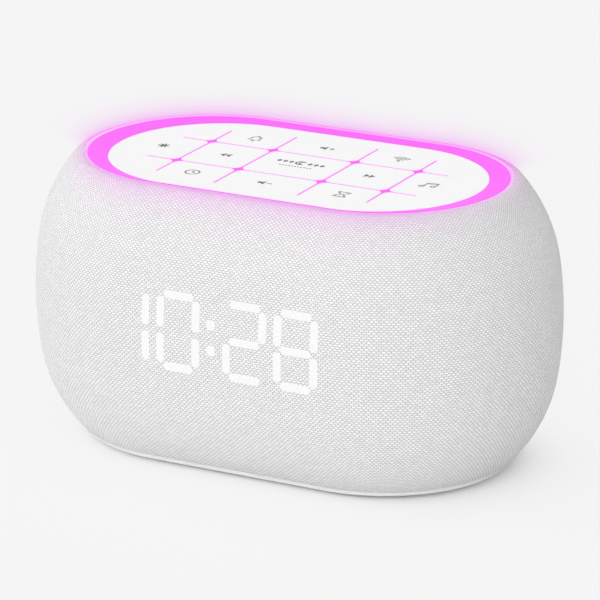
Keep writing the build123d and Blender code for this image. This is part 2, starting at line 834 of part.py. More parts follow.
with BuildPart() as top_tray:
    with BuildSketch(Plane.XY.offset(tray_low)):
        SlotCenterToCenter(2 * half_straight, 2 * ring_radius)
        RectangleRounded(tray_opening_length, tray_opening_width, key_corner, mode=Mode.SUBTRACT)
    extrude(amount=tray_floor)
    with BuildSketch(Plane.XY.offset(board_low)):
        oval_band(half_straight, ring_radius, half_straight, ring_radius - tray_wall)
    extrude(amount=ring_low - board_low)
    with BuildSketch(Plane.XY.offset(tray_boss_low)):
        with Locations(*lug_places):
            Circle(boss_radius)
    extrude(amount=tray_foot)
    with BuildSketch(Plane.XY.offset(tray_boss_low)):
        with Locations(*lug_places):
            Circle(screw_radius)
    extrude(amount=screw_length - lug_thickness, mode=Mode.SUBTRACT)
    with BuildSketch(Plane.XY.offset(tray_low)):
        with Locations(*frame_bosses):
            Circle(screw_radius)
    extrude(amount=tray_floor, mode=Mode.SUBTRACT)
save(top_tray.part, "top_tray")

# ------------------------------------------------------------------ key board
with BuildPart() as key_board:
    with BuildSketch(Plane.XY.offset(board_low)):
        SlotCenterToCenter(2 * half_straight, 2 * board_radius)
        with Locations(*frame_bosses):
            Circle(screw_radius, mode=Mode.SUBTRACT)
    extrude(amount=board)
save(key_board.part, "key_board")

with BuildPart() as tact_switches:
    with BuildSketch(Plane.XY.offset(board_top)):
        with Locations(*nub_places):
            RectangleRounded(switch_size, switch_size, switch_corner)
    extrude(amount=switch_body)
    with BuildSketch(Plane.XY.offset(board_top + switch_body - stem_depth)):
        with Locations(*nub_places):
            Circle(stem_bore)
    extrude(amount=stem_depth, mode=Mode.SUBTRACT)
save(tact_switches.part, "tact_switches")

for name, key in keys.items():
    with BuildPart() as stem:
        with BuildSketch(Plane.XY.offset(nub_low)):
            with Locations(key["nub"]):
                Circle(stem_radius)
        extrude(amount=-stem_length)
    save(stem.part, f"stem_{name}")

led_half = (half_straight + deck_half) / 2
led_radius = (ring_inner + frame_radius) / 2

with BuildPart() as ring_leds:
    with BuildSketch(Plane.XY.offset(board_top)):
        with GridLocations(2 * led_half / (side_leds - 1), 2 * led_radius, side_leds, 2):
            Rectangle(led_size, led_size)
        for side in (1, -1):
            with Locations(Location((side * led_half, 0), 90 * (1 - side))):
                with PolarLocations(led_radius, end_leds, -end_led_turn, 2 * end_led_turn,
                                    endpoint=True):
                    Rectangle(led_size, led_size)
    extrude(amount=led_height)
save(ring_leds.part, "ring_leds")

# ------------------------------------------------------------------ clock display
upright = digit_half_height - 2 * segment_gap
level = 2 * digit_half_width - 2 * segment_gap
segments = []
for digit in digit_places:
    for z in (-digit_half_height, 0, digit_half_height):
        segments.append((digit, display_level + z, level, 0))
    for x in (-digit_half_width, digit_half_width):
        for z in (-digit_half_height / 2, digit_half_height / 2):
            segments.append((digit + x, display_level + z, upright, 90))
colon_dots = [(colon_place, display_level + z) for z in (-colon_half_pitch, colon_half_pitch)]

with BuildSketch() as segment_field:
    for x, z, length, turn in segments:
        half, tip = length / 2, segment_width / 2
        with Locations(Location((x, z), turn)):
            Polygon(
                (-half, 0),
                (tip - half, -tip),
                (half - tip, -tip),
                (half, 0),
                (half - tip, tip),
                (tip - half, tip),
                align=None,
            )
    with Locations(*colon_dots):
        RectangleRounded(colon_size, colon_size, colon_round)
segment_places = [(x, z) for x, z, length, turn in segments] + colon_dots

with BuildPart() as display_mask:
    with BuildSketch(Plane.XZ.offset(-display_back)):
        with Locations((0, display_level)):
            RectangleRounded(display_width, display_height, display_round)
    extrude(amount=display_depth)
    with BuildSketch(Plane.XZ.offset(-display_back)):
        add(segment_field.sketch)
    extrude(amount=display_depth, mode=Mode.SUBTRACT)
save(display_mask.part, "display_mask")

with BuildPart() as display_diffusers:
    with BuildSketch(Plane.XZ.offset(-display_front)):
        add(segment_field.sketch)
    extrude(amount=-diffuser_depth)
save(display_diffusers.part, "display_diffusers")

with BuildPart() as display_leds:
    with BuildSketch(Plane.XZ.offset(-display_back)):
        with Locations(*segment_places):
            Rectangle(display_led, display_led)
    extrude(amount=led_height)
save(display_leds.part, "display_leds")

with BuildPart() as display_board:
    with BuildSketch(Plane.XZ.offset(-display_back)):
        with Locations((0, display_level)):
            Rectangle(display_board_width, display_board_height)
        with Locations(*digit_board_posts):
            Circle(screw_radius, mode=Mode.SUBTRACT)
    extrude(amount=-board)
save(display_board.part, "display_board")

# ------------------------------------------------------------------ loudspeaker
speaker_plane = Plane.XY.offset(speaker_level)
speaker_axis = Axis((0, 0, speaker_level), (0, 1, 0))
flange_back = speaker_face - flange
plate_low = basket_floor - plate
magnet_low = plate_low - magnet_depth
yoke_low = magnet_low - plate
coil_low = plate_low - former_reach
coil_outer = coil_inner + former
terminal_low = speaker_level - basket_foot_radius - terminal_stand
terminal_y = basket_floor + terminal_depth / 2


def ring_section(inner, outer, low, high):
    """Rectangle of a ring about the loudspeaker's axis, for use inside a sketch."""
    with Locations(((inner + outer) / 2, (low + high) / 2)):
        Rectangle(outer - inner, high - low)


def basket_radius(y):
    """Outside radius of the basket's cone at a place along the axis."""
    share = (y - basket_floor) / basket_depth
    return basket_foot_radius + share * (basket_rim_radius - basket_foot_radius)


def dome_arc(base, height):
    """Arc of a dome, from its edge on the top of the former to its crown."""
    radius = (base**2 + height**2) / (2 * height)
    turn = degrees(asin(base / radius))
    return CenterArc((0, coil_top + height - radius), radius, 90 - turn, turn)


spider_seat = basket_radius(spider_level) - basket_wall
window_low = spider_level + window_margin
window_high = flange_back - window_margin

with BuildPart() as speaker_basket:
    with BuildSketch(Plane.XZ.offset(-flange_back)):
        with Locations((0, speaker_level)):
            RectangleRounded(speaker_size, speaker_size, flange_corner)
            Circle(flange_opening, mode=Mode.SUBTRACT)
        with Locations(*flange_corners):
            Circle(screw_radius, mode=Mode.SUBTRACT)
    extrude(amount=-flange)
    with BuildSketch(speaker_plane):
        with BuildLine():
            Polyline(
                (basket_rim_radius, flange_back),
                (basket_rim_radius - basket_wall, flange_back),
                (basket_foot_radius - basket_wall, basket_floor),
                (basket_foot_radius, basket_floor),
                close=True,
            )
        make_face()
        ring_section(
            basket_floor_bore,
            basket_foot_radius - basket_wall / 2,
            basket_floor,
            basket_floor + basket_wall,
        )
        # ledge that the spider's rim is glued to
        ledge_top = spider_level - spider_thickness
        ring_section(
            spider_seat - ledge_width, spider_seat, ledge_top - ledge_thickness, ledge_top
        )
    revolve(axis=speaker_axis)
    # windows between the basket's four legs
    with BuildSketch(Plane.XY.offset(speaker_level)):
        with Locations((0, (window_low + window_high) / 2)):
            Rectangle(2 * speaker_size, window_high - window_low)
    extrude(amount=basket_window / 2, both=True, mode=Mode.SUBTRACT)
    with BuildSketch(Plane.YZ):
        with Locations(((window_low + window_high) / 2, speaker_level)):
            Rectangle(window_high - window_low, 2 * speaker_size)
    extrude(amount=basket_window / 2, both=True, mode=Mode.SUBTRACT)
    # terminal block that the leads start from
    with BuildSketch(Plane.XY.offset(terminal_low)):
        with Locations((0, terminal_y)):
            Rectangle(terminal_width, terminal_depth)
    extrude(amount=terminal_height)
save(speaker_basket.part, "speaker_basket")

with BuildPart() as top_plate:
    with BuildSketch(speaker_plane):
        ring_section(plate_bore, plate_radius, plate_low, basket_floor)
    revolve(axis=speaker_axis)
save(top_plate.part, "top_plate")

with BuildPart() as magnet_ring:
    with BuildSketch(speaker_plane):
        ring_section(magnet_bore, magnet_radius, magnet_low, plate_low)
    revolve(axis=speaker_axis)
    chamfer(magnet_ring.edges().filter_by(GeomType.CIRCLE), length=magnet_chamfer)
save(magnet_ring.part, "magnet_ring")

with BuildPart() as pole_yoke:
    with BuildSketch(speaker_plane):
        ring_section(0, plate_radius, yoke_low, magnet_low)
        ring_section(0, pole_radius, yoke_low, basket_floor)
    revolve(axis=speaker_axis)
save(pole_yoke.part, "pole_yoke")

with BuildPart() as voice_coil:
    with BuildSketch(speaker_plane):
        ring_section(coil_inner, coil_outer, coil_low, coil_top)
        winding_low = coil_low + winding_margin
        ring_section(
            coil_inner, coil_outer + winding, winding_low, winding_low + winding_length
        )
    revolve(axis=speaker_axis)
save(voice_coil.part, "voice_coil")

with BuildPart() as speaker_cone:
    with BuildSketch(speaker_plane):
        with BuildLine():
            Polyline(
                (coil_outer, coil_top - cone_thickness),
                (cone_edge_radius, speaker_face - cone_thickness),
                (cone_edge_radius, speaker_face),
                (cone_edge_radius - paper, speaker_face),
                (coil_outer, coil_top),
                close=True,
            )
        make_face()
    revolve(axis=speaker_axis)
save(speaker_cone.part, "speaker_cone")

with BuildPart() as dust_cap:
    with BuildSketch(speaker_plane):
        with BuildLine():
            outer_dome = dome_arc(coil_outer, dome_height)
            inner_dome = dome_arc(coil_inner, dome_height - paper)
            Line(outer_dome @ 0, inner_dome @ 0)
            Line(outer_dome @ 1, inner_dome @ 1)
        make_face()
    revolve(axis=speaker_axis)
save(dust_cap.part, "dust_cap")

roll_outer = flange_opening + rubber
roll_centre = (roll_outer + cone_edge_radius - rubber / 2) / 2
roll_radius = roll_outer - roll_centre
with BuildPart() as surround:
    with BuildSketch(speaker_plane):
        with Locations((roll_centre, speaker_face)):
            Circle(roll_radius)
            Circle(roll_radius - rubber, mode=Mode.SUBTRACT)
        with Locations((roll_centre, speaker_face - roll_radius)):
            Rectangle(4 * roll_radius, 2 * roll_radius, mode=Mode.SUBTRACT)
        ring_section(
            roll_outer - rubber,
            seat_opening - surround_gap,
            speaker_face,
            speaker_face + rubber,
        )
    revolve(axis=speaker_axis)
save(surround.part, "surround")

rim_outer = spider_seat - spider_gap
rim_inner = rim_outer - spider_rim
half_wave = (rim_inner - coil_outer) / (2 * spider_waves)
wave_points = [
    (coil_outer + index * half_wave, spider_level + wave_height * (index % 2))
    for index in range(2 * spider_waves + 1)
]
with BuildPart() as spider:
    with BuildSketch(speaker_plane):
        with BuildLine():
            Polyline(
                *wave_points,
                *[(x, y - spider_thickness) for x, y in reversed(wave_points)],
                close=True,
            )
        make_face()
        ring_section(rim_inner, rim_outer, ledge_top, spider_level)
    revolve(axis=speaker_axis)
save(spider.part, "spider")

# ------------------------------------------------------------------ main board
main_board_top = main_board_level + board
cell_low = main_board_top + cup_wall
connector_top = main_board_top + connector_height

with BuildPart() as main_board:
    with BuildSketch(Plane.XY.offset(main_board_level)):
        Rectangle(main_board_length, main_board_width)
        with Locations(*main_board_posts):
            Circle(screw_radius, mode=Mode.SUBTRACT)
    extrude(amount=board)
save(main_board.part, "main_board")

with BuildPart() as main_board_parts:
    # connectors for the two ribbons and the loudspeaker leads
    with BuildSketch(Plane.XY.offset(main_board_top)):
        with Locations(key_ribbon_place, display_ribbon_place):
            Rectangle(ribbon_width + connector_margin, connector_depth)
        with Locations(lead_place):
            Rectangle(lead_connector, connector_depth)
    extrude(amount=connector_height)
    # processor and amplifier
    with BuildSketch(Plane.XY.offset(main_board_top)):
        for place, side in chips:
            with Locations(place):
                Rectangle(side, side)
    extrude(amount=chip_height)
    # radio module under its can
    with BuildSketch(Plane.XY.offset(main_board_top)):
        with Locations(radio_place):
            Rectangle(radio_can[0], radio_can[1])
    extrude(amount=radio_can[2])
    # capacitors
    with BuildSketch(Plane.XY.offset(main_board_top)):
        with Locations(*capacitor_places):
            Circle(capacitor_radius)
    extrude(amount=capacitor_height)
    # cup of the backup cell
    with BuildSketch(Plane.XY.offset(main_board_top)):
        with Locations(cell_place):
            Circle(cell_radius + cup_wall)
    extrude(amount=cup_wall + cell_thickness / 2)
    with BuildSketch(Plane.XY.offset(cell_low)):
        with Locations(cell_place):
            Circle(cell_radius)
    extrude(amount=cell_thickness, mode=Mode.SUBTRACT)
save(main_board_parts.part, "main_board_parts")

with BuildPart() as backup_cell:
    with BuildSketch(Plane.XY.offset(cell_low)):
        with Locations(cell_place):
            Circle(cell_radius)
    extrude(amount=cell_thickness)
    chamfer(backup_cell.edges().group_by(Axis.Z)[-1], length=cell_chamfer)
save(backup_cell.part, "backup_cell")

# ------------------------------------------------------------------ ribbons and leads
display_board_back = display_back + board


def ribbon_strip(x, points, bend):
    """Edge-on strip of a flat cable through points given along Y and Z."""
    with BuildSketch(Plane.YZ.offset(x)) as strip:
        with BuildLine():
            FilletPolyline(*points, radius=bend)
        trace(line_width=ribbon)
    return strip.sketch


key_ribbon_front = key_ribbon_place[1] - key_ribbon_shift
key_ribbon_turn = board_low - key_ribbon_drop
key_ribbon_path = [
    (key_ribbon_front, board_low),
    (key_ribbon_front, key_ribbon_turn),
    (key_ribbon_place[1], key_ribbon_turn - key_ribbon_slope),
    (key_ribbon_place[1], connector_top),
]
with BuildPart() as key_ribbon:
    strip = ribbon_strip(key_ribbon_place[0], key_ribbon_path, ribbon_bend)
    extrude(strip, amount=ribbon_width / 2, both=True)
save(key_ribbon.part, "key_ribbon")

display_ribbon_start = display_level - display_ribbon_down
display_ribbon_path = [
    (display_board_back, display_ribbon_start),
    (display_board_back + display_ribbon_out, display_ribbon_start),
    (display_ribbon_place[1], display_ribbon_start - display_ribbon_slope),
    (display_ribbon_place[1], connector_top),
]
with BuildPart() as display_ribbon:
    strip = ribbon_strip(display_ribbon_place[0], display_ribbon_path, ribbon_bend)
    extrude(strip, amount=ribbon_width / 2, both=True)
save(display_ribbon.part, "display_ribbon")

port_board_edge = port_back - port_board_depth
main_board_edge = main_board_width / 2
on_port_board = port_board_top + ribbon / 2
on_main_board = main_board_top + ribbon / 2
power_lead_path = [
    (port_board_edge + power_lead_foot, on_port_board),
    (port_board_edge - power_lead_step, on_port_board),
    (main_board_edge - power_lead_step, on_main_board),
    (main_board_edge - power_lead_step - power_lead_foot, on_main_board),
]
with BuildPart() as power_leads:
    strip = ribbon_strip(power_lead_place, power_lead_path, power_lead_bend)
    extrude(strip, amount=power_lead_width / 2, both=True)
save(power_leads.part, "power_leads")

with BuildPart() as speaker_leads:
    for x in (lead_place[0] - lead_pitch / 2, lead_place[0] + lead_pitch / 2):
        with BuildLine(Plane.YZ.offset(x)) as route:
            FilletPolyline(
                (terminal_y, terminal_low),
                (terminal_y, terminal_low - lead_drop),
                (lead_place[1], terminal_low - lead_drop),
                (lead_place[1], connector_top),
                radius=lead_bend,
            )
        with BuildSketch(Plane(origin=route.line @ 0, z_dir=(0, 0, -1))):
            Circle(lead_radius)
        sweep(path=route.line)
save(speaker_leads.part, "speaker_leads")

# ------------------------------------------------------------------ inner screws
inner_places = (
    [Plane(origin=(x, flange_back, z), z_dir=(0, 1, 0)) for x, z in flange_corners]
    + [Plane(origin=(x, display_board_back, z), z_dir=(0, -1, 0)) for x, z in digit_board_posts]
    + [Plane(origin=(x, y, lug_low), z_dir=(0, 0, 1)) for x, y in lug_places]
    + [Plane(origin=(x, y, tray_low), z_dir=(0, 0, 1)) for x, y in frame_bosses]
    + [Plane(origin=(x, y, main_board_top), z_dir=(0, 0, -1)) for x, y in main_board_posts]
)
fasteners = [screw(place) for place in inner_places]

with BuildPart() as inner_screws:
    add(fasteners)
save(inner_screws.part, "inner_screws")
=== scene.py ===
# %% [markdown]
# # A cloth-covered sound machine, dressed in Blender
# The real object is a bedside machine that plays soft noise: an oblong cabinet in a
# stretched sleeve of speaker cloth, a ring of light round the key plate on top, and a
# clock that shines through the cloth at the front. Its solids come from CAD as a fixed
# frame. Here every surface gets its finish, and the cloth, the lit digits, the printed
# symbols and the loudspeaker's two soft rings are modelled, because those are the pieces
# that CAD shows plainly.

# %% Load the frame
import json
import math

import bpy
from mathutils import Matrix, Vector


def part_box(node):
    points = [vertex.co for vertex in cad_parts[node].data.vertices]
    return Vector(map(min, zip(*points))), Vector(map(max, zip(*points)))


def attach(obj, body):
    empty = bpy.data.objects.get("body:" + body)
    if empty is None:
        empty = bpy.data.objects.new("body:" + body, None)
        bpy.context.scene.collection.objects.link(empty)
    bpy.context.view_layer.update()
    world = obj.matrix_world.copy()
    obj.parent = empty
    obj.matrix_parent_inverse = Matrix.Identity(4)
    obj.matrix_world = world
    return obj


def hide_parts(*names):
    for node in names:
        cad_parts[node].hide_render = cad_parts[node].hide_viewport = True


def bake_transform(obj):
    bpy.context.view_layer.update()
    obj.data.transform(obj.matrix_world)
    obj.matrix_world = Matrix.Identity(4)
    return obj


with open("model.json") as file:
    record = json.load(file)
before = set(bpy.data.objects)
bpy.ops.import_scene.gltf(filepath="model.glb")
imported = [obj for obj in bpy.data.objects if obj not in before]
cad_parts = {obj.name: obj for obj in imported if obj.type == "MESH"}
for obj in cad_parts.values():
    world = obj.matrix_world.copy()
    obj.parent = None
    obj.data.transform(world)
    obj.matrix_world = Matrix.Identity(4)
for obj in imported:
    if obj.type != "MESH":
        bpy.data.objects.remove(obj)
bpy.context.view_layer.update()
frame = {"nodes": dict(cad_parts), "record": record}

# %% [markdown]
# ## Sizes that everything hangs on
# A modeller would measure the casing with callipers. The frame already holds those
# measures, so they are read from the boxes of its nodes. The body is an oval: two half
# circles joined by straight sides, which is why half the straight side and one radius
# place almost everything.

# %% Measures
mm = 0.001
sleeve_low, sleeve_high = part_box("fabric_sleeve")
ring_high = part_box("light_ring")[1]
deck_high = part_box("key_deck")[1]
mask_low, mask_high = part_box("display_mask")

end_radius = sleeve_high.y
half_straight = sleeve_high.x - end_radius
rim_level = sleeve_high.z
hem_level = sleeve_low.z
ring_radius = ring_high.y
deck_top = deck_high.z
display_level = (mask_low.z + mask_high.z) / 2
print("end radius", round(end_radius / mm, 2), "half straight", round(half_straight / mm, 2))

# %% [markdown]
# ## Working by hand, in code
# An operator acts on all that is selected, as it would under the mouse. So each piece
# starts from nothing selected, is added as a primitive, and is shaped in edit mode.

# %% Hands
smooth_under = math.radians(50)         # sharper edges than this stay sharp


def add_piece(name, operator, **settings):
    """Add a primitive with nothing else selected and name it."""
    bpy.ops.object.select_all(action="DESELECT")
    operator(**settings)
    piece = bpy.context.object
    piece.name = name
    return piece


def take(*pieces):
    """Select these pieces alone, and make the first one active."""
    bpy.ops.object.select_all(action="DESELECT")
    for piece in pieces:
        piece.select_set(True)
    bpy.context.view_layer.objects.active = pieces[0]


def edit(piece, mode="VERT"):
    """Go into edit mode on one piece, with nothing in it selected."""
    take(piece)
    bpy.ops.object.mode_set(mode="EDIT")
    bpy.ops.mesh.select_mode(type=mode)
    bpy.ops.mesh.select_all(action="DESELECT")


def leave():
    """Go back to object mode."""
    bpy.ops.object.mode_set(mode="OBJECT")


def pick(piece, test):
    """Select the vertices that pass a test on their place."""
    bpy.ops.mesh.select_all(action="DESELECT")
    leave()
    for vertex in piece.data.vertices:
        vertex.select = test(vertex.co)
    bpy.ops.object.mode_set(mode="EDIT")


def pick_all():
    """Select everything in the piece in edit mode."""
    bpy.ops.mesh.select_all(action="SELECT")


def face_outwards():
    """Turn all faces of the piece in edit mode outwards, and leave it."""
    pick_all()
    bpy.ops.mesh.normals_make_consistent(inside=False)
    leave()


def settle(piece):
    """Put a piece's place and turn into its mesh, so that its object is at the origin."""
    take(piece)
    bpy.ops.object.transform_apply(location=True, rotation=True, scale=True)


def apply_modifier(piece, kind, **settings):
    """Add a modifier, set it and apply it."""
    take(piece)
    bpy.ops.object.modifier_add(type=kind)
    modifier = piece.modifiers[-1]
    for key, value in settings.items():
        setattr(modifier, key, value)
    bpy.ops.object.modifier_apply(modifier=modifier.name)


def join(pieces, name):
    """Join pieces into the first one and rename it."""
    take(*pieces)
    bpy.ops.object.join()
    pieces[0].name = name
    return pieces[0]


def dress(piece, material):
    """Give a piece one material and no other."""
    piece.data.materials.clear()
    piece.data.materials.append(material)


# %% [markdown]
# ## The camera
# A long lens from far away keeps the sides of a product nearly parallel. The camera
# stands to the right of the front and a little above, and looks at the middle of the
# body.

# %% Camera
picture = 600                   # the picture's side, in pixels
focal = 4002.87                 # the lens, in pixels of that picture
sensor = 36.0
azimuth, elevation = math.radians(27.32), math.radians(18.61)
aim = Vector((0.94, 0.0, 41.75)) * mm
camera_distance = 1129.9 * mm

back = Vector((
    math.sin(azimuth) * math.cos(elevation),
    -math.cos(azimuth) * math.cos(elevation),
    math.sin(elevation),
))
bpy.ops.object.select_all(action="DESELECT")
bpy.ops.object.camera_add(location=aim + back * camera_distance)
camera = bpy.context.object
camera.rotation_euler = (-back).to_track_quat("-Z", "Y").to_euler()
camera.data.sensor_width = sensor
camera.data.lens = focal / picture * sensor
camera.data.clip_start = 10 * mm
bpy.context.scene.camera = camera
print("lens", round(camera.data.lens, 1), "mm")

# %% [markdown]
# ## Helpers for finishes
# A finish is a small network of nodes. These helpers add a node, join sockets, and do
# sums, so that each finish below reads as a recipe. Colours are written as the 0 to 255
# numbers of a paint chart and turned into the linear values that a renderer needs.

# %% Node helpers
def paint(red, green, blue):
    """Linear colour of a 0 to 255 paint chart colour."""
    def linear(value):
        share = value / 255
        return share / 12.92 if share <= 0.04045 else ((share + 0.055) / 1.055) ** 2.4
    return (linear(red), linear(green), linear(blue), 1.0)


class Recipe:
    """A material under construction."""

    def __init__(self, name):
        self.material = bpy.data.materials.new(name)
        self.material.use_nodes = True
        self.tree = self.material.node_tree
        self.shader = self.tree.nodes["Principled BSDF"]
        self.output = self.tree.nodes["Material Output"]

    def node(self, kind, **settings):
        """Add a node and set its properties."""
        made = self.tree.nodes.new("ShaderNode" + kind)
        for key, value in settings.items():
            setattr(made, key, value)
        return made

    def feed(self, socket, value):
        """Give a socket a link or a constant."""
        if isinstance(value, bpy.types.NodeSocket):
            self.tree.links.new(value, socket)
        else:
            socket.default_value = value

    def sum(self, operation, first, second=0.0):
        """Result of a sum on two values or sockets."""
        made = self.node("Math", operation=operation)
        self.feed(made.inputs[0], first)
        self.feed(made.inputs[1], second)
        return made.outputs[0]

    def over(self, value, limit):
        """How far a value is over a limit, or 0."""
        return self.sum("MAXIMUM", self.sum("SUBTRACT", value, limit), 0.0)

    def place(self, squeeze=(1, 1, 1)):
        """Object coordinates that squeeze a pattern so much along each axis."""
        coordinates = self.node("TexCoord")
        mapping = self.node("Mapping")
        mapping.inputs["Scale"].default_value = squeeze
        self.feed(mapping.inputs["Vector"], coordinates.outputs["Object"])
        return mapping.outputs["Vector"]

    def noise(self, size, where, detail=2.0):
        """Noise with features of a given size, from 0 to 1."""
        made = self.node("TexNoise")
        made.inputs["Scale"].default_value = 1 / size
        made.inputs["Detail"].default_value = detail
        self.feed(made.inputs["Vector"], where)
        return made.outputs["Fac"]

    def spread(self, value, low, high):
        """A 0 to 1 value spread from low to high."""
        made = self.node("MapRange")
        made.inputs["To Min"].default_value = low
        made.inputs["To Max"].default_value = high
        self.feed(made.inputs["Value"], value)
        return made.outputs["Result"]

    def blend(self, share, first, second):
        """Mix of two colours by a share."""
        made = self.node("Mix", data_type="RGBA")
        self.feed(made.inputs["Factor"], share)
        self.feed(made.inputs["A"], first)
        self.feed(made.inputs["B"], second)
        return made.outputs["Result"]

    def relief(self, height, depth):
        """Let a 0 to 1 height stand that deep on the surface."""
        bump = self.node("Bump")
        bump.inputs["Distance"].default_value = depth
        bump.inputs["Strength"].default_value = 1.0
        self.feed(bump.inputs["Height"], height)
        self.feed(self.shader.inputs["Normal"], bump.outputs["Normal"])

    def set(self, **sockets):
        """Set the shader's sockets by name, with _ for a space."""
        for key, value in sockets.items():
            self.feed(self.shader.inputs[key.replace("_", " ")], value)


def shade(colour, factor):
    """A colour made lighter or darker."""
    return tuple(min(1.0, part * factor) for part in colour[:3]) + (1.0,)


# %% [markdown]
# ## Which finish each piece wears
# The frame's record names a finish for each CAD node, such as white plastic or board
# green. Reading the pieces of a finish from it means that no piece is forgotten.

# %% Finish book
colour_of = {m["slot"]: tuple(m["base_color"]) + (1.0,) for m in frame["record"]["materials"]}
nodes_of = {}
for part in frame["record"]["subparts"]:
    nodes_of.setdefault(part["material_slot"], []).append(frame["nodes"][part["node"]])


def wear(slot, recipe):
    """Give every node of a finish its material."""
    for piece in nodes_of[slot]:
        dress(piece, recipe.material)
    print(slot, "on", len(nodes_of[slot]), "nodes")


# %% [markdown]
# ## Light
# Small white goods are shown in a tent of cloth with broad lamps round it. The lamps
# here are suns, each spread over 60 degrees of the sky, so that no shadow has an edge:
# one overhead, one low in front, one on the left and the weakest at the front right,
# which leaves the right end in a mild shade. A dim sky fills in the rest. What is
# looked at, straight, in a mirror or through glass, is a plain pale backdrop.

# %% Sky and lamps
backdrop = paint(245, 245, 245)
sky_strength = 0.30
lamp_softness = math.radians(60)        # how wide each lamp is, seen from the object
lamps = {
    "overhead_lamp": ((0, 0, 1), 0.84),
    "front_lamp": ((0, -1, 0.35), 0.98),
    "left_lamp": ((-1, 0, 0.6), 1.04),
    "right_lamp": ((0.65, -0.75, 0.8), 0.77),
}

bpy.context.scene.view_settings.view_transform = "Standard"


def looked_at(tree):
    """A socket that is 1 for what is looked at straight, in a mirror or through glass."""
    path = tree.nodes.new("ShaderNodeLightPath")
    found = path.outputs["Is Camera Ray"]
    for other in ("Is Glossy Ray", "Is Transmission Ray"):
        larger = tree.nodes.new("ShaderNodeMath")
        larger.operation = "MAXIMUM"
        tree.links.new(found, larger.inputs[0])
        tree.links.new(path.outputs[other], larger.inputs[1])
        found = larger.outputs[0]
    return found


world = bpy.data.worlds.new("soft_sky")
bpy.context.scene.world = world
world.use_nodes = True
sky = world.node_tree.nodes["Background"]
seen_sky = world.node_tree.nodes.new("ShaderNodeBackground")
either = world.node_tree.nodes.new("ShaderNodeMixShader")
sky.inputs["Color"].default_value = (1.0, 1.0, 1.0, 1.0)
sky.inputs["Strength"].default_value = sky_strength
seen_sky.inputs["Color"].default_value = backdrop
seen_sky.inputs["Strength"].default_value = 1.0
links = world.node_tree.links
links.new(looked_at(world.node_tree), either.inputs[0])
links.new(sky.outputs[0], either.inputs[1])
links.new(seen_sky.outputs[0], either.inputs[2])
links.new(either.outputs[0], world.node_tree.nodes["World Output"].inputs["Surface"])

for name, (direction, strength) in lamps.items():
    bpy.ops.object.select_all(action="DESELECT")
    bpy.ops.object.light_add(type="SUN")
    lamp = bpy.context.object
    lamp.name = name
    lamp.rotation_euler = Vector(direction).to_track_quat("Z", "Y").to_euler()
    lamp.data.energy = strength
    lamp.data.angle = lamp_softness
print("lamps", len(lamps))

# %% [markdown]
# ## Floor
# The floor is a plain white sheet that is lit like the body and takes its shadow. To
# keep the backdrop clean, a share of what is seen of it is an even glow instead. That
# share is small under the edge of the base, where the dark contact line belongs, and
# grows to nearly all within a centimetre, more slowly on the right, where the shade
# lies. The distance from that edge is worked out for the body's oval, in the material.

# %% Floor
floor_size = 8.0                # in metres, far past the view
glow_far, glow_near = 0.93, 0.07        # share of glow far from the foot and at it
front_fade, right_fade = 2.2 * mm, 10 * mm
seen_under = 3.4 * mm           # how far one sees in under the base
foot_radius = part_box("base_plate")[1].y - seen_under

floor = add_piece("floor", bpy.ops.mesh.primitive_plane_add, size=floor_size)
white = Recipe("floor_white")
floor_place = white.node("TexCoord").outputs["Object"]
floor_split = white.node("SeparateXYZ")
white.feed(floor_split.inputs[0], floor_place)
past_straight = white.over(white.sum("ABSOLUTE", floor_split.outputs["X"]), half_straight)
squares = white.sum(
    "ADD", white.sum("POWER", past_straight, 2.0),
    white.sum("POWER", white.sum("ABSOLUTE", floor_split.outputs["Y"]), 2.0),
)
from_middle = white.sum("SQRT", squares)
from_foot = white.over(from_middle, foot_radius)
past_right = white.over(floor_split.outputs["X"], half_straight)
rightness = white.sum("POWER", white.sum("DIVIDE", past_right, from_middle), 2.0)
fade_length = white.spread(rightness, front_fade, right_fade)
closeness = white.sum("DIVIDE", from_foot, fade_length)
closeness = white.sum("EXPONENT", white.sum("MULTIPLY", closeness, -1.0))
glow_share = white.sum("SUBTRACT", glow_far, white.sum("MULTIPLY", closeness, glow_far - glow_near))

diffuse = white.node("BsdfDiffuse")
glow = white.node("Emission")
floor_mix = white.node("MixShader")
diffuse.inputs["Color"].default_value = backdrop
glow.inputs["Color"].default_value = backdrop
glow.inputs["Strength"].default_value = 1.0
seen_share = white.sum("MULTIPLY", looked_at(white.tree), glow_share)
white.feed(floor_mix.inputs[0], seen_share)
white.feed(floor_mix.inputs[1], diffuse.outputs[0])
white.feed(floor_mix.inputs[2], glow.outputs[0])
white.feed(white.output.inputs["Surface"], floor_mix.outputs[0])
floor.data.materials.append(white.material)
print("foot radius", round(foot_radius / mm, 2))

# %% [markdown]
# ## The cloth's cut line
# Seen in section, the cloth runs in from under the base, round the lower edge, up the
# belly, over the rim and down beside the light ring. Each stretch is an arc, so the
# section is worked out from centres and radii instead of a list of points: one large
# arc for the belly, a tighter one for each shoulder, and small ones for the folds.

# %% Section of the sleeve
belly_radius = 113.0 * mm
belly_level = 41.9 * mm
belly_half_height = 16.4 * mm
rim_inset, hem_inset = 12.5 * mm, 12.25 * mm
rim_round, hem_round = 4.0 * mm, 1.2 * mm
tuck_fold = 0.35 * mm
cloth = 0.48 * mm
tuck_radius = ring_radius + 0.12 * mm
tuck_depth = 2.6 * mm
hem_reach = 3.6 * mm

belly_turn = math.asin(belly_half_height / belly_radius)
belly_x = end_radius - belly_radius


def shoulder_arc(corner, side):
    """Centre and radius of the arc from the belly to a corner, both as (out, up)."""
    normal = Vector((math.cos(belly_turn), side * math.sin(belly_turn)))
    start = Vector((belly_x, belly_level)) + normal * belly_radius
    run = corner - start
    radius = -run.dot(run) / (2 * run.dot(normal))
    return start - normal * radius, radius


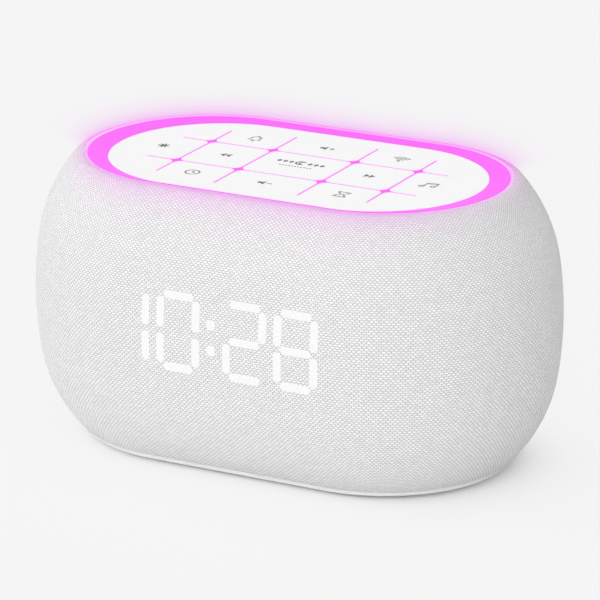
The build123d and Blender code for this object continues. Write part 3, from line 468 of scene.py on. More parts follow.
def fold_centre(centre, radius, fold, level):
    """Centre of the fold that joins a shoulder arc to a level line, inside both."""
    rise = level - centre.y
    return Vector((centre.x + math.sqrt((radius - fold) ** 2 - rise ** 2), level))


def arc(centre, radius, start, end, steps):
    """Points along an arc, from one angle to another, in degrees."""
    angles = [math.radians(start + (end - start) * i / steps) for i in range(steps + 1)]
    return [centre + Vector((math.cos(a), math.sin(a))) * radius for a in angles]


def turn_of(vector):
    """Direction of a vector in degrees."""
    return math.degrees(math.atan2(vector.y, vector.x))


rim_centre, rim_radius = shoulder_arc(Vector((end_radius - rim_inset, rim_level)), 1)
hem_centre, hem_radius = shoulder_arc(Vector((end_radius - hem_inset, hem_level)), -1)
rim_fold = fold_centre(rim_centre, rim_radius, rim_round, rim_level - rim_round)
hem_fold = fold_centre(hem_centre, hem_radius, hem_round, hem_level + hem_round)
rim_turn = turn_of(rim_fold - rim_centre)
hem_turn = turn_of(hem_fold - hem_centre)
belly_degrees = math.degrees(belly_turn)
tuck_centre = Vector((tuck_radius + tuck_fold, rim_level - tuck_fold))

section = [Vector((end_radius - hem_inset - hem_reach, hem_level))]
section += arc(hem_fold, hem_round, -90, hem_turn, 6)
section += arc(hem_centre, hem_radius, hem_turn, -belly_degrees, 22)[1:]
section += arc(Vector((belly_x, belly_level)), belly_radius, -belly_degrees, belly_degrees, 16)[1:]
section += arc(rim_centre, rim_radius, belly_degrees, rim_turn, 22)[1:]
section += arc(rim_fold, rim_round, rim_turn, 90, 10)[1:]
section += arc(tuck_centre, tuck_fold, 90, 180, 4)
rim_index = len(section) - 3
section.append(Vector((tuck_radius, rim_level - tuck_depth)))

along = [0.0]
for before, after in zip(section, section[1:]):
    along.append(along[-1] + (after - before).length)
cut_height = along[-1]
cut_width = 4 * half_straight + 2 * math.pi * end_radius
print("section points", len(section), "cut", round(cut_width / mm), "x", round(cut_height / mm))

# %% [markdown]
# ## The sleeve
# A knitter's tube would be pulled over the cabinet. The same can be done with a ring of
# vertices: it is extruded and resized step by step up the section, which makes a round
# pot, and then the two halves of the pot are pulled apart, which stretches the faces
# between them into the straight sides of the oval. Solidify gives it its thickness.

# %% Sleeve mesh
ring_steps = 144


def draw_up(name, points, steps, turn=0.0):
    """Ring of vertices drawn through a section's points, (out, up), left in edit mode."""
    pot = add_piece(
        name, bpy.ops.mesh.primitive_circle_add, vertices=steps, radius=points[0].x,
        location=(0, 0, points[0].y), rotation=(0, 0, turn),
    )
    settle(pot)
    edit(pot)
    pick_all()
    for before, after in zip(points, points[1:]):
        bpy.ops.mesh.extrude_region_move(
            TRANSFORM_OT_translate={"value": (0, 0, after.y - before.y)}
        )
        size = after.x / before.x
        bpy.ops.transform.resize(value=(size, size, 1), center_override=(0, 0, 0))
    return pot


def oval_pot(name, points):
    """Surface through a section's points, carried round the oval of the body."""
    pot = draw_up(name, points, ring_steps, turn=math.pi / ring_steps)
    for side in (1, -1):
        pick(pot, lambda co: co.x * side > 0)
        bpy.ops.transform.translate(value=(side * half_straight, 0, 0))
    face_outwards()
    return pot


sleeve = oval_pot("cloth_cover", section)
print("sleeve faces", len(sleeve.data.polygons), "width", round(sleeve.dimensions.x / mm, 2))

# %% [markdown]
# ## Laying the weave on the sleeve
# The weave has to follow the cloth, so the sleeve gets a map of its own: across is the
# way round the body, and up is the way along the section. Both run from 0 to 1 over the
# cut cloth. The map's seam is on the back, where a real sleeve is sewn.

# %% Sleeve map
half_round = end_radius * math.pi


def outward_of(co):
    """From the body's spine to a place, seen from above."""
    past = max(abs(co.x) - half_straight, 0.0)
    return Vector((math.copysign(past, co.x), co.y))


def way_up(co):
    """Length along the section to the point of it that is nearest to a place."""
    spot = Vector((outward_of(co).length, co.z))
    nearest = min(range(len(section)), key=lambda i: (section[i] - spot).length)
    return along[nearest]


def way_round(x, y, middle_x):
    """Length round the body at a place, for a face whose middle is at middle_x."""
    if middle_x > half_straight:
        return half_straight + end_radius * math.atan2(max(x - half_straight, 0.0), -y)
    if middle_x < -half_straight:
        return -half_straight - end_radius * math.atan2(max(-x - half_straight, 0.0), -y)
    return x if y < 0 else 2 * half_straight + half_round - x


cloth_map = sleeve.data.uv_layers.new(name="weave")
heights = [way_up(vertex.co) / cut_height for vertex in sleeve.data.vertices]
for face in sleeve.data.polygons:
    for corner in face.loop_indices:
        index = sleeve.data.loops[corner].vertex_index
        co = sleeve.data.vertices[index].co
        around = way_round(co.x, co.y, face.center.x) + half_straight + half_round
        cloth_map.data[corner].uv = (around / cut_width, heights[index])
print("mapped faces", len(sleeve.data.polygons))

# %% [markdown]
# ## Thickness and the opening for the power inlet
# The cloth is half a millimetre thick, and it is cut out round the inlet's frame at the
# back. A rounded block stands in for the cutting die: a cube, sized, with its four
# lengthwise edges bevelled, taken away by a Boolean.

# %% Thickness and cut
inlet_width, inlet_height = 26.0 * mm, 11.0 * mm        # outside of the inlet's frame
inlet_level = 13.0 * mm
die_corner = 2.55 * mm
die_gap = 0.04 * mm             # left free between the frame and the cloth
die_depth = 30 * mm
apply_modifier(sleeve, "SOLIDIFY", thickness=cloth, offset=-1.0, use_even_offset=True)

die = add_piece("die", bpy.ops.mesh.primitive_cube_add, size=1.0)
die.scale = (inlet_width + 2 * die_gap, die_depth, inlet_height + 2 * die_gap)
die.location = (0, end_radius, inlet_level)
settle(die)
edit(die, "EDGE")
leave()
for edge in die.data.edges:
    first, second = (die.data.vertices[i].co for i in edge.vertices)
    edge.select = abs(first.y - second.y) > die_depth / 2
bpy.ops.object.mode_set(mode="EDIT")
bpy.ops.mesh.bevel(offset=die_corner, segments=8, affect="EDGES")
leave()
apply_modifier(sleeve, "BOOLEAN", operation="DIFFERENCE", object=die, solver="EXACT")
bpy.data.objects.remove(die)

take(sleeve)
bpy.ops.object.shade_smooth_by_angle(angle=smooth_under)
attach(sleeve, "housing")
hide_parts("fabric_sleeve")
print("sleeve faces", len(sleeve.data.polygons))

# %% [markdown]
# ## The weave
# Speaker cloth is woven from thick, loosely twisted polyester. Where a thread that runs
# round the body lies on top it shows as a small bright oblong, and these stand like
# bricks, staggered by half from row to row, with thin dark gaps between the rows. A
# brick pattern is made with a few sums: the row is the whole part of the height, every
# second row is pushed half a brick along, and what is left over says how far a place is
# from the middle of its brick. In the colour, the dark gaps and the darker edges of each
# thread are painted shade, laid on by that distance. Towards the rim the tube narrows and
# its rows pack closer. Each brick draws its own brightness, which is how yarn of uneven
# thickness looks, and fine noise is the fuzz.

# %% Weave finish
float_length = 1.33 * mm
row_height = 0.68 * mm
gather, gather_reach = 0.45, 0.18       # rows packed closer towards the rim
floats_round = round(cut_width / float_length)
rows_up = cut_height / row_height
# the yarn's own white, and the gap colour, which is painted shade between the threads
thread_light = paint(254, 254, 254)
gap_shade = paint(195, 195, 195)
lay_wander, wander_size = 0.20, 6 * mm  # how far a row wanders, in rows, and how slowly
uneven_yarn = 0.13

weave = Recipe("speaker_cloth")
weave_map = weave.node("UVMap", uv_map="weave")
split = weave.node("SeparateXYZ")
weave.feed(split.inputs[0], weave_map.outputs[0])
around, up = split.outputs["X"], split.outputs["Y"]

wander = weave.noise(wander_size, weave.place(), 3.0)
drift = weave.spread(wander, -lay_wander, lay_wander)
rows = weave.sum("ADD", weave.sum("MULTIPLY", up, rows_up), drift)
below_top = weave.sum("DIVIDE", weave.sum("SUBTRACT", up, 1.0), gather_reach)
packed = weave.sum("MULTIPLY", weave.sum("EXPONENT", below_top), gather * gather_reach * rows_up)
rows = weave.sum("ADD", rows, packed)
row = weave.sum("FLOOR", rows)
stagger = weave.sum("MULTIPLY", weave.sum("MODULO", row, 2.0), 0.5)
bricks = weave.sum("ADD", weave.sum("MULTIPLY", around, floats_round), drift)
bricks = weave.sum("ADD", bricks, stagger)
brick = weave.sum("FLOOR", bricks)


def off_middle(value):
    """How far a place is from the middle of its brick or row, from 0 to 1 at its edge."""
    from_middle = weave.sum("SUBTRACT", weave.sum("FRACT", value), 0.5)
    return weave.sum("MULTIPLY", weave.sum("ABSOLUTE", from_middle), 2.0)


float_share = 0.94              # how much of its brick the visible thread fills
blunt_ends, blunt_sides = 3.0, 2.2      # 2 is round, more is blunter
brightness_curve = 0.7          # below 1, a thread is bright over more of its width
sideways = weave.sum("POWER", weave.sum("DIVIDE", off_middle(bricks), float_share), blunt_ends)
upwards = weave.sum("POWER", off_middle(rows), blunt_sides)
swell = weave.over(1.0, weave.sum("ADD", sideways, upwards))

draw = weave.node("TexWhiteNoise", noise_dimensions="2D")
numbered = weave.node("CombineXYZ")
weave.feed(numbered.inputs[0], brick)
weave.feed(numbered.inputs[1], row)
weave.feed(draw.inputs["Vector"], numbered.outputs[0])
own_share = weave.spread(draw.outputs["Value"], 1 - 2 * uneven_yarn, 1.0)
# painted shade: the gap colour where the swell is low, the thread's white at its crown, times each
# brick's own yarn brightness
swell_shade_and_yarn = weave.sum("MULTIPLY", weave.sum("POWER", swell, brightness_curve), own_share)
yarn_and_gap_shade = weave.blend(swell_shade_and_yarn, gap_shade, thread_light)
print("floats round", floats_round, "rows up", round(rows_up))

# %% [markdown]
# ### Painted pink light in the cloth, and relief
# The ring's light in the cloth is painted: the base colour is painted pink at the ring
# and turns white within a centimetre, sooner at the ends than along the sides. Right
# beside the ring the cloth also has a painted glow: a thin line in front, and a wider
# band on the far side, the side turned away from the camera, where the rim looks
# brighter. The painted pink and the painted glow are kept as attributes of the mesh and
# read by the material. The bricks' swelling is the relief, so the threads catch the light.

# %% Painted pink light, glow and relief
ring_pink = paint(255, 112, 250)
painted_pink_light = paint(236, 112, 238)
side_pink_light, end_pink_light = 0.72, 0.42
side_reach, end_reach = 4.3 * mm, 2.3 * mm
near_glow, far_glow = 0.45, 0.34
near_glow_reach, far_glow_reach = 0.4 * mm, 2.6 * mm
# the side turned away from the camera, seen from above
backdrop_side = Vector((-0.46, 0.89)).normalized()      # seen from above
swell_depth = 0.07 * mm
fuzz_size, fuzz_share = 0.12 * mm, 0.15         # the share is of the swell's depth

# per vertex: the share of painted pink light from the ring, and the strength of the painted glow
painted_ring_light = sleeve.data.attributes.new("painted_ring_light", "FLOAT", "POINT")
ring_glow = sleeve.data.attributes.new("ring_glow", "FLOAT", "POINT")
for index, vertex in enumerate(sleeve.data.vertices):
    run = max(along[rim_index] - way_up(vertex.co), 0.0)
    direction = outward_of(vertex.co).normalized()
    sideness = direction.y ** 2
    reach = end_reach + (side_reach - end_reach) * sideness
    strength = end_pink_light + (side_pink_light - end_pink_light) * sideness
    # on the side turned away from the camera the painted glow is weaker at the ring but reaches
    # wider
    farness = min(max(2 * direction.dot(backdrop_side), 0.0), 1.0)
    painted_ring_light.data[index].value = strength * math.exp(-run / reach)
    glow_here = near_glow + (far_glow - near_glow) * farness
    glow_reach = near_glow_reach + (far_glow_reach - near_glow_reach) * farness
    ring_glow.data[index].value = glow_here * math.exp(-run / glow_reach)

tint = weave.node("Attribute", attribute_name="painted_ring_light").outputs["Fac"]
rim_glow = weave.node("Attribute", attribute_name="ring_glow").outputs["Fac"]
# the base colour gets painted pink light, strongest at the ring
lit_colour = weave.blend(tint, yarn_and_gap_shade, painted_pink_light)
# painted glow: the cloth beside the ring shines pink, though no lamp is in it
weave.set(Emission_Color=ring_pink, Emission_Strength=rim_glow)
fuzz = weave.noise(fuzz_size, weave.place(), 3.0)
weave.relief(weave.sum("ADD", swell, weave.spread(fuzz, -fuzz_share, fuzz_share)), swell_depth)
weave.set(Base_Color=lit_colour, Roughness=0.92, Sheen_Weight=0.08, Sheen_Roughness=0.6)
weave.set(Specular_IOR_Level=0.15)
dress(sleeve, weave.material)
print("pinkest", round(max(value.value for value in painted_ring_light.data), 2))

# %% [markdown]
# ## Light ring and the lit lines
# The ring is milky plastic over a row of lamps, and the thin lines between the keys are
# the ribs of a clear plate that carries the same light. Milky plastic that is lit from
# behind looks even, so most of its colour is its own glow. A slow noise leaves the
# faint unevenness that lamps behind a diffuser always have.

# %% Lit plastics
def lit_plastic(name, colour, glow_low, glow_high, base_share, cell):
    """Plastic that glows with its own colour, slightly unevenly."""
    lit = Recipe(name)
    uneven = lit.noise(cell, lit.place(), 1.0)
    lit.set(
        Base_Color=lit.blend(uneven, shade(colour, base_share), shade(colour, base_share * 0.9)),
        Emission_Color=lit.blend(uneven, colour, shade(colour, 0.97)),
        Emission_Strength=lit.spread(uneven, glow_low, glow_high),
        Roughness=0.45,
        Specular_IOR_Level=0.03,
    )
    return lit


wear("lit_ring", lit_plastic("milky_ring", paint(255, 114, 253), 0.83, 0.88, 0.12, 9 * mm))
wear("clear_guide", lit_plastic("lit_guide", paint(255, 100, 250), 0.92, 1.0, 0.08, 6 * mm))

# %% [markdown]
# ## Moulded plastics
# The key plate and keys are satin white, the base a slightly cooler white, and the
# inside parts are plain moulding compounds. All come out of a steel mould whose walls
# are finely etched, so they share one recipe: a fine grain in the relief, a faint
# cloudiness in the colour, and a gloss that varies a little.

# %% Moulded finishes
def moulded(name, colour, gloss, grain=0.25 * mm, depth=0.004 * mm, cloud=0.03):
    """Satin moulded plastic."""
    plastic = Recipe(name)
    where = plastic.place()
    flow = plastic.noise(14 * mm, where, 2.0)
    etched = plastic.noise(grain, where, 2.0)
    plastic.relief(etched, depth)
    plastic.set(
        Base_Color=plastic.blend(flow, shade(colour, 1 - cloud), shade(colour, 1 + cloud / 3)),
        Roughness=plastic.spread(etched, gloss - 0.06, gloss + 0.06),
        Specular_IOR_Level=0.4,
    )
    return plastic


wear("deck_white", moulded("key_plate_white", paint(247, 247, 247), 0.42, cloud=0.012))
wear("white_shell", moulded("base_white", paint(247, 249, 248), 0.40, cloud=0.02))
for slot, gloss in (
    ("inner_white", 0.55), ("inner_grey", 0.6), ("stem_plastic", 0.5), ("mask_black", 0.65),
    ("lead_red", 0.35), ("board_parts", 0.45), ("basket_metal", 0.4), ("ferrite", 0.7),
):
    wear(slot, moulded(f"{slot}_finish", colour_of[slot], gloss))
for slot, gloss in (("foot_rubber", 0.85), ("surround_rubber", 0.8)):
    wear(slot, moulded(f"{slot}_finish", colour_of[slot], gloss, 0.15 * mm, 0.02 * mm, 0.08))
for slot, gloss in (("led_lens", 0.2), ("diffuser", 0.5)):
    wear(slot, lit_plastic(f"{slot}_finish", colour_of[slot], 0.4, 0.5, 0.6, 2 * mm))

# %% [markdown]
# ## Metals
# Plated screws, the socket, the magnet's plates and the backup cell are turned or
# pressed. Noise that is squeezed along one direction gives the fine lines a tool
# leaves, and it works on both the gloss and the relief.

# %% Metal finishes
def metal(name, colour, gloss, squeeze):
    """Turned or pressed metal with fine lines across the squeezed direction."""
    made = Recipe(name)
    lines = made.noise(1.2 * mm, made.place(squeeze), 4.0)
    spots = made.noise(5 * mm, made.place(), 2.0)
    made.relief(lines, 0.003 * mm)
    made.set(
        Base_Color=made.blend(spots, shade(colour, 0.9), shade(colour, 1.05)),
        Metallic=1.0,
        Roughness=made.spread(lines, gloss - 0.08, gloss + 0.1),
    )
    return made


for slot, gloss, squeeze in (
    ("screw_steel", 0.3, (1, 1, 14)), ("socket_metal", 0.22, (1, 12, 1)),
    ("magnet_steel", 0.32, (1, 14, 1)), ("cell_metal", 0.2, (14, 1, 1)),
):
    wear(slot, metal(f"{slot}_finish", colour_of[slot], gloss, squeeze))

# %% [markdown]
# ## Boards, winding, paper and cables
# Each of these shows a pattern rather than a grain: tracks under green lacquer, turns of
# copper wire, long fibres in the cone, the open weave of the spider, and the parallel
# wires in a flat cable. Bands of a wave texture, or two of them crossed, make them all.

# %% Patterned finishes
def banded(name, colour, pitch, direction, contrast, gloss, depth, warp=0.0, crossed=None):
    """Surface with bands of a given pitch, crossed by a second set if asked."""
    made = Recipe(name)
    where = made.place()

    def bands(axis):
        wave = made.node("TexWave", wave_type="BANDS", bands_direction=axis)
        wave.inputs["Scale"].default_value = math.tau / (20 * pitch)
        wave.inputs["Distortion"].default_value = warp
        wave.inputs["Detail"].default_value = 2.0
        made.feed(wave.inputs["Vector"], where)
        return wave.outputs["Fac"]

    pattern = bands(direction)
    if crossed:
        pattern = made.sum("MAXIMUM", pattern, bands(crossed))
    made.relief(pattern, depth)
    made.set(
        Base_Color=made.blend(pattern, shade(colour, 1 - contrast), shade(colour, 1 + contrast)),
        Roughness=made.spread(pattern, gloss, gloss + 0.12),
    )
    return made


wear("board_green", banded("board_lacquer", colour_of["board_green"], 1.3 * mm, "X", 0.25,
                           0.25, 0.01 * mm, warp=6.0, crossed="Y"))
wear("coil_copper", banded("copper_winding", colour_of["coil_copper"], 0.25 * mm, "Y", 0.3,
                           0.3, 0.05 * mm))
wear("cone_paper", banded("cone_paper_finish", colour_of["cone_paper"], 0.9 * mm, "DIAGONAL",
                          0.3, 0.8, 0.03 * mm, warp=14.0))
wear("spider_cloth", banded("spider_weave", colour_of["spider_cloth"], 0.5 * mm, "X", 0.3,
                            0.8, 0.05 * mm, crossed="Z"))
wear("ribbon", banded("flat_cable", colour_of["ribbon"], 1.0 * mm, "X", 0.12, 0.4, 0.03 * mm))
wear("cloth", weave)

# %% [markdown]
# ## The loudspeaker's soft rings
# The cone hangs in two soft rings: a rubber roll round its edge and a corrugated cloth
# spider round its neck. Both are held outside by the basket and move inside with the
# cone. A ring is drawn as a section and carried round like the sleeve, then cut into
# twelve sectors, which are joined again.

# %% Soft ring helper
soft_steps, sector_count = 72, 12
sector_slack = 1.0              # degrees, so that a sector's edge is surely in it
seam_gap = 0.001 * mm
surround_low, surround_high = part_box("surround")
speaker_centre = Vector((0, 0, (surround_low.z + surround_high.z) / 2))


def soft_ring(name, node, slot, points, thickness):
    """Ring drawn through a section, cut into sectors and joined again, in place of a CAD node."""
    ring = draw_up(name, points, soft_steps)
    face_outwards()
    apply_modifier(ring, "SOLIDIFY", thickness=thickness, offset=0.0)
    ring.rotation_euler = (-math.pi / 2, 0, 0)
    ring.location = speaker_centre
    settle(ring)
    bpy.ops.object.shade_smooth_by_angle(angle=smooth_under)

    half_sector = math.cos(math.radians(180 / sector_count + sector_slack))
    sectors = []
    for step in range(sector_count):
        turn = math.tau * step / sector_count
        facing = Vector((math.cos(turn), 0, math.sin(turn)))

        def inside(co):
            out = Vector((co.x, 0, co.z - speaker_centre.z))
            return out.normalized().dot(facing) > half_sector

        edit(ring)
        pick(ring, inside)
        bpy.ops.mesh.select_mode(type="VERT")       # faces are selected with their vertices
        bpy.ops.mesh.separate(type="SELECTED")
        leave()
        sector = [piece for piece in bpy.context.selected_objects if piece is not ring][0]
        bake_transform(sector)
        sectors.append(sector)
    print(name, "left over", len(ring.data.polygons), "faces")
    bpy.data.objects.remove(ring)
    ring = join(sectors, name)
    edit(ring)
    pick_all()
    bpy.ops.mesh.remove_doubles(threshold=seam_gap)
    leave()
    dress(ring, nodes_of[slot][0].data.materials[0])
    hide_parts(node)


# %% [markdown]
# ### The rubber roll and the spider
# The roll is most of a half circle in section, with a flat foot that is glued to the
# basket. The spider is a flat rim and six waves that end on the voice coil. Sections
# are (out from the axis, back from the middle of the machine).

# %% Roll and spider
rubber_thickness = 0.4 * mm
roll_radius, roll_middle, roll_level = 1.83 * mm, 18.83 * mm, 40.0 * mm
roll_start, roll_end, roll_steps = 6, 180, 18       # degrees along its half circle
foot_edge = 22.35 * mm
roll = [Vector((foot_edge, roll_level + rubber_thickness / 2))]
roll += arc(Vector((roll_middle, roll_level)), roll_radius, roll_start, roll_end, roll_steps)
soft_ring("rubber_roll", "surround", "surround_rubber", roll, rubber_thickness)

spider_thickness, spider_level, wave_height = 0.3 * mm, 29.35 * mm, 0.6 * mm
rim_outer, rim_inner, neck = 17.15 * mm, 15.6 * mm, 7.0 * mm
wave_count, wave_steps = 6, 8
spider = [Vector((rim_outer, spider_level))]
for step in range(wave_count * wave_steps + 1):
    share = step / (wave_count * wave_steps)
    rise = wave_height * (1 - math.cos(math.tau * wave_count * share)) / 2
    spider.append(Vector((rim_inner + (neck - rim_inner) * share, spider_level + rise)))
soft_ring("cloth_spider", "spider", "spider_cloth", spider, spider_thickness)

# %% [markdown]
# ## The clock's lit segments
# The clock's lamps stand behind black partitions that end on the back of the cloth, so
# each segment is a sharp patch of cloth that shines. The patch is made as a film on the
# cloth's curve: a six-sided disc whose two ends are pulled apart, its corners rounded,
# cut into strips so that it can bend, and projected onto the sleeve. Four digits and
# two dots show the time ten twenty-eight.

# %% Segment and digits
digit_places = [x * mm for x in (-26.5, -10.9, 9.6, 25.2)]
digit_half_width = 5.5 * mm
digit_half_height = 10.3 * mm
segment_width = 2.35 * mm
level_length = 9.5 * mm
upright_length = 8.95 * mm
segment_tip = 0.75 * mm
segment_corner = 0.32 * mm
colon_x = -0.65 * mm
colon_half_pitch = 3.65 * mm
colon_size = 2.8 * mm
colon_tip = 0.45 * mm
strip = 0.9 * mm
lit_stand = 0.03 * mm           # how far the patches stand off the cloth
before_cloth = 5 * mm           # how far in front of it they are made

# across and up from the digit's middle, in half widths and half heights, and the turn
bars = {
    "top": (0, 1, 0), "middle": (0, 0, 0), "bottom": (0, -1, 0),
    "upper_left": (-1, 0.5, 90), "upper_right": (1, 0.5, 90),
    "lower_left": (-1, -0.5, 90), "lower_right": (1, -0.5, 90),
}
shown = (
    ("upper_right", "lower_right"),
    ("top", "bottom", "upper_left", "upper_right", "lower_left", "lower_right"),
    ("top", "upper_right", "middle", "lower_left", "bottom"),
    tuple(bars),
)


def lit_bar(length, width, x, z, turn, tip):
    """One flat patch with pointed ends, standing upright in front of the cloth."""
    bar = add_piece("bar", bpy.ops.mesh.primitive_circle_add, vertices=6, radius=1.0,
                    fill_type="NGON", rotation=(0, 0, -math.pi / 2))
    settle(bar)
    edit(bar)
    pick_all()
    # the disc's tips are half a radius long and its sides are off the middle by this
    side_height = math.sin(math.pi / 3)
    bpy.ops.transform.resize(value=(2 * tip, width / 2 / side_height, 1), center_override=(0, 0, 0))
    for side in (1, -1):
        pick(bar, lambda co: co.x * side > 0)
        bpy.ops.transform.translate(value=(side * (length / 2 - 2 * tip), 0, 0))
    pick_all()
    bpy.ops.mesh.bevel(offset=segment_corner, segments=4, affect="VERTICES")
    for step in range(1, int(length / strip)):
        pick_all()
        bpy.ops.mesh.bisect(plane_co=(step * strip - length / 2, 0, 0), plane_no=(1, 0, 0))
    for share in (-0.25, 0.0, 0.25):
        pick_all()
        bpy.ops.mesh.bisect(plane_co=(0, share * width, 0), plane_no=(0, 1, 0))
    leave()
    bar.rotation_euler = (math.pi / 2, math.radians(turn), 0)
    bar.location = (x, -end_radius - before_cloth, z)
    settle(bar)
    return bar


lit_bars = []
for digit, names in zip(digit_places, shown):
    for name in names:
        side, rise, turn = bars[name]
        length = upright_length if turn else level_length
        lit_bars.append(lit_bar(
            length, segment_width, digit + side * digit_half_width,
            display_level + rise * digit_half_height, turn, segment_tip,
        ))
for side in (1, -1):
    lit_bars.append(lit_bar(
        colon_size, colon_size, colon_x, display_level + side * colon_half_pitch, 0, colon_tip
    ))

clock_light = join(lit_bars, "clock_light")
apply_modifier(
    clock_light, "SHRINKWRAP", target=sleeve, wrap_method="PROJECT", use_project_y=True,
    use_negative_direction=True, use_positive_direction=True, offset=lit_stand,
)
edit(clock_light)
face_outwards()
foremost = min(vertex.co.y for vertex in clock_light.data.vertices)
print("lit bars", len(lit_bars), "front", round(foremost / mm, 2))

# %% [markdown]
# ## The light of the digits
# White light through white cloth: brighter than anything round it, and almost even,
# with a trace of the threads left in it. Nearly all of the colour is glow, so that the
# digits look the same in a dark room, and the base below it is dark.

# %% Digit glow
digit_light = Recipe("digit_light")
threads = digit_light.noise(0.5 * mm, digit_light.place(), 2.0)
digit_light.set(
    Base_Color=(0.05, 0.05, 0.05, 1.0),
    Emission_Color=(1.0, 1.0, 1.0, 1.0),
    Emission_Strength=digit_light.spread(threads, 0.80, 0.97),
    Roughness=0.9,
)
dress(clock_light, digit_light.material)
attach(clock_light, "housing")

# %% [markdown]
# ## Printed symbols
# The symbols are pad-printed in grey ink, a film that is hardly there. Lines are drawn
# as curves with a round pen, made a mesh and pressed almost flat. Solid shapes are
# discs with few or many corners. These two tools draw every symbol.

# %% Pen and stamp
ink_stand = 0.02 * mm           # top of the ink above the key
pen = 0.25 * mm                 # half the width of a line


def stroke(points, closed=False, width=pen):
    """A line of ink through points in millimetres, about the origin."""
    curve = bpy.data.curves.new("stroke", "CURVE")
    curve.dimensions = "3D"
    curve.bevel_depth = width
    curve.bevel_resolution = 2
    curve.use_fill_caps = True
    line = curve.splines.new("POLY")
    line.points.add(len(points) - 1)
    for point, (x, y) in zip(line.points, points):
        point.co = (x * mm, y * mm, 0, 1)
    line.use_cyclic_u = closed
    piece = bpy.data.objects.new("stroke", curve)
    bpy.context.scene.collection.objects.link(piece)
    take(piece)
    bpy.ops.object.convert(target="MESH")
    piece = bpy.context.object
    piece.scale = (1, 1, ink_stand / width)
    settle(piece)
    return piece


def stamp(corners, x, y, radius, turn=0.0, stretch=(1, 1)):
    """A solid shape of ink: a disc with a few or many corners, in millimetres."""
    piece = add_piece(
        "stamp", bpy.ops.mesh.primitive_cylinder_add, vertices=corners, radius=radius * mm,
        depth=2 * ink_stand, rotation=(0, 0, math.radians(turn)),
    )
    settle(piece)
    piece.scale = (stretch[0], stretch[1], 1)
    piece.location = (x * mm, y * mm, 0)
    settle(piece)
    return piece


def bend(x, y, radius, start, end, steps=14):
    """Points of an arc in millimetres and degrees."""
    return [tuple(point) for point in arc(Vector((x, y)), radius, start, end, steps)]


# %% [markdown]
# ### What each key shows
# The signs are the common ones of such machines: a sun for the lamp, a bell for the
# alarm, arrows for back and next, a loudspeaker with plus or minus for the volume, a
# dial for the clock, waves for the wireless link, a sand glass for the timer and a pair
# of notes for the sounds. The wide middle key shows a moon between stars, and below it a
# row of dots for the colours of the ring.

# %% Symbols
def sun():
    rays = [
        stroke([(0.9 * math.cos(a), 0.9 * math.sin(a)), (1.75 * math.cos(a), 1.75 * math.sin(a))])
        for a in (math.radians(45 * i) for i in range(8))
    ]
    return [stamp(24, 0, 0, 1.05)] + rays


def bell():
    return [
        stroke([(-1.95, -1.4), (-1.4, -0.6), (-1.4, 0.5)] + bend(0, 0.5, 1.4, 180, 0)
               + [(1.4, -0.6), (1.95, -1.4)], closed=True),
        stamp(16, 0, -2.0, 0.5),
        stamp(16, 0, 2.25, 0.35),
    ]


def arrows(side):
    return [
        stamp(3, side * x, 0, 1.0, turn=-90 * side, stretch=(1.1, 1.6)) for x in (-1.1, 0.55)
    ]


def dial():
    return [
        stroke(bend(0, 0, 2.0, 0, 345, 24), closed=True),
        stroke([(0, 1.15), (0, 0), (0.9, -0.3)]),
    ]


def loudspeaker(plus):
    pieces = [
        stamp(4, -1.75, 0, 0.72, turn=45, stretch=(1.0, 1.3)),
        stamp(3, -0.75, 0, 1.0, turn=90, stretch=(1.15, 1.7)),
        stroke([(0.55, 0), (2.2, 0)]),
    ]
    if plus:
        pieces.append(stroke([(1.4, -0.85), (1.4, 0.85)]))
    return pieces


def moon():
    outer = bend(0, 0, 1.4, 50, 310, 22)
    inner = bend(0.75, 0.0, 1.1, 290, 70, 16)
    stars = [
        stamp(4, side * x, 0, 0.8, stretch=(1.0, 1.35)) for side in (1, -1) for x in (2.9, 4.8, 6.7)
    ]
    dots = [stamp(8, 0.95 * place, -3.6, 0.33) for place in range(-5, 6)]
    return [stroke(outer + inner, closed=True, width=0.3 * mm)] + stars + dots


def waves():
    pieces = [stamp(20, 0, -1.7, 0.55)]
    for radius in (1.5, 2.55, 3.6):
        pieces.append(stroke(bend(0, -1.7, radius, 45, 135)))
    return pieces


def sand_glass():
    half = [(1.45, 2.0), (1.45, 1.2), (0.25, 0), (1.45, -1.2), (1.45, -2.0)]
    return [
        stroke([(-2.0, level), (2.0, level)]) for level in (-2.05, 2.05)
    ] + [
        stroke([(side * x, y) for x, y in half]) for side in (1, -1)
    ]


def notes():
    return [
        stroke([(-1.3, -1.5), (-1.3, 1.6), (1.9, 2.1), (1.9, -0.9)]),
        stroke([(-1.3, 0.95), (1.9, 1.45)]),
        stroke(bend(-1.95, -1.55, 0.6, 0, 340, 14), closed=True),
        stroke(bend(1.25, -0.95, 0.6, 0, 340, 14), closed=True),
    ]


# each key's drawing, and where its middle is on the deck, in millimetres
symbols = {
    "light": (sun, -42.8, 0.4), "alarm": (bell, -22.8, 18.4),
    "back": (lambda: arrows(-1), -22.7, 0.1), "clock": (dial, -23.0, -18.75),
    "volume_down": (lambda: loudspeaker(False), -0.1, -18.8), "snooze": (moon, -0.1, 2.6),
    "volume_up": (lambda: loudspeaker(True), 0.0, 18.9), "wireless": (waves, 23.1, 18.8),
    "next": (lambda: arrows(1), 22.6, 0.2), "timer": (sand_glass, 23.4, -18.6),
    "sounds": (notes, 41.1, 0.1),
}
print("symbols", len(symbols))
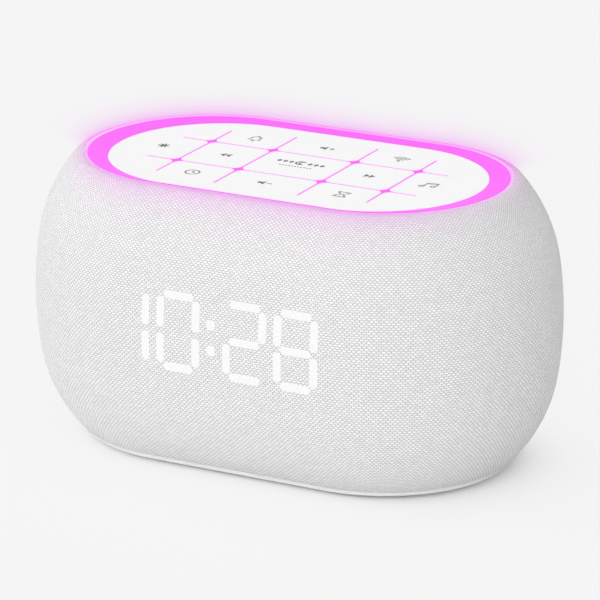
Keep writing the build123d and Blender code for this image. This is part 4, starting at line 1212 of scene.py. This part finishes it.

# %% [markdown]
# ### Printing the keys
# Each symbol is one piece. Most ride on their own key, so they go down when the key does.
# The two keys at the ends bend at a line that runs under their symbols, so those two
# prints are left in place and ride on no key.

ink = Recipe("grey_ink")
ink_spots = ink.noise(0.3 * mm, ink.place(), 2.0)
ink.set(
    Base_Color=ink.blend(ink_spots, paint(84, 84, 86), paint(108, 108, 110)),
    Roughness=ink.spread(ink_spots, 0.45, 0.6),
)
for key, (draw, x, y) in symbols.items():
    print_piece = join(draw(), f"print_{key}")
    print_piece.location = (x * mm, y * mm, deck_top)
    settle(print_piece)
    dress(print_piece, ink.material)
    if key in ("light", "sounds"):
        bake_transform(print_piece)
    else:
        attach(print_piece, f"{key}_key")

# %% [markdown]
# ## The haze of light round the rim
# A bright ring in front of a pale backdrop has a coloured haze round it. It isn't part
# of the object, so it belongs to the stage: a thin collar of clear film that starts at
# the rim and rises slightly outwards. It takes green out of what is behind it, most at
# the ring and less and less outwards, which leaves pink. It is there only on the side
# of the backdrop, because in front the cloth itself shows the light.

# %% Haze collar
haze_width = 17 * mm
haze_slope = math.radians(18)
haze_reach = 4.7 * mm
haze_end_reach = 2.6 * mm
haze_depth = 0.48
haze_loops = 16
haze_from, haze_to = -0.03, 0.3         # it fades in where the side turns to the backdrop
haze_out, haze_up = 1.1 * mm, 0.05 * mm
haze_start = Vector((ring_radius + haze_out, rim_level + haze_up))
haze_run = Vector((math.cos(haze_slope), math.sin(haze_slope)))

haze_points = [haze_start + haze_run * haze_width * i / haze_loops for i in range(haze_loops + 1)]
haze = oval_pot("rim_haze", haze_points)
fade = haze.data.attributes.new("haze", "FLOAT", "POINT")
for index, vertex in enumerate(haze.data.vertices):
    outward = outward_of(vertex.co)
    run = (outward.length - haze_start.x) / math.cos(haze_slope)
    facing = outward.normalized().dot(backdrop_side)
    side_share = min(max((facing - haze_from) / (haze_to - haze_from), 0.0), 1.0)
    reach = haze_end_reach + (haze_reach - haze_end_reach) * max(facing, 0.0)
    fade.data[index].value = side_share * (math.exp(-run / reach) - math.exp(-haze_width / reach))

film = Recipe("haze_film")
clear = film.node("BsdfTransparent")
strength = film.node("Attribute", attribute_name="haze").outputs["Fac"]
trimmed = film.sum("MULTIPLY", strength, haze_depth)
film.feed(clear.inputs["Color"], film.blend(trimmed, (1, 1, 1, 1), (1, 0, 1, 1)))
film.feed(film.output.inputs["Surface"], clear.outputs[0])
haze.data.materials.append(film.material)
haze.visible_shadow = False
haze.visible_diffuse = False
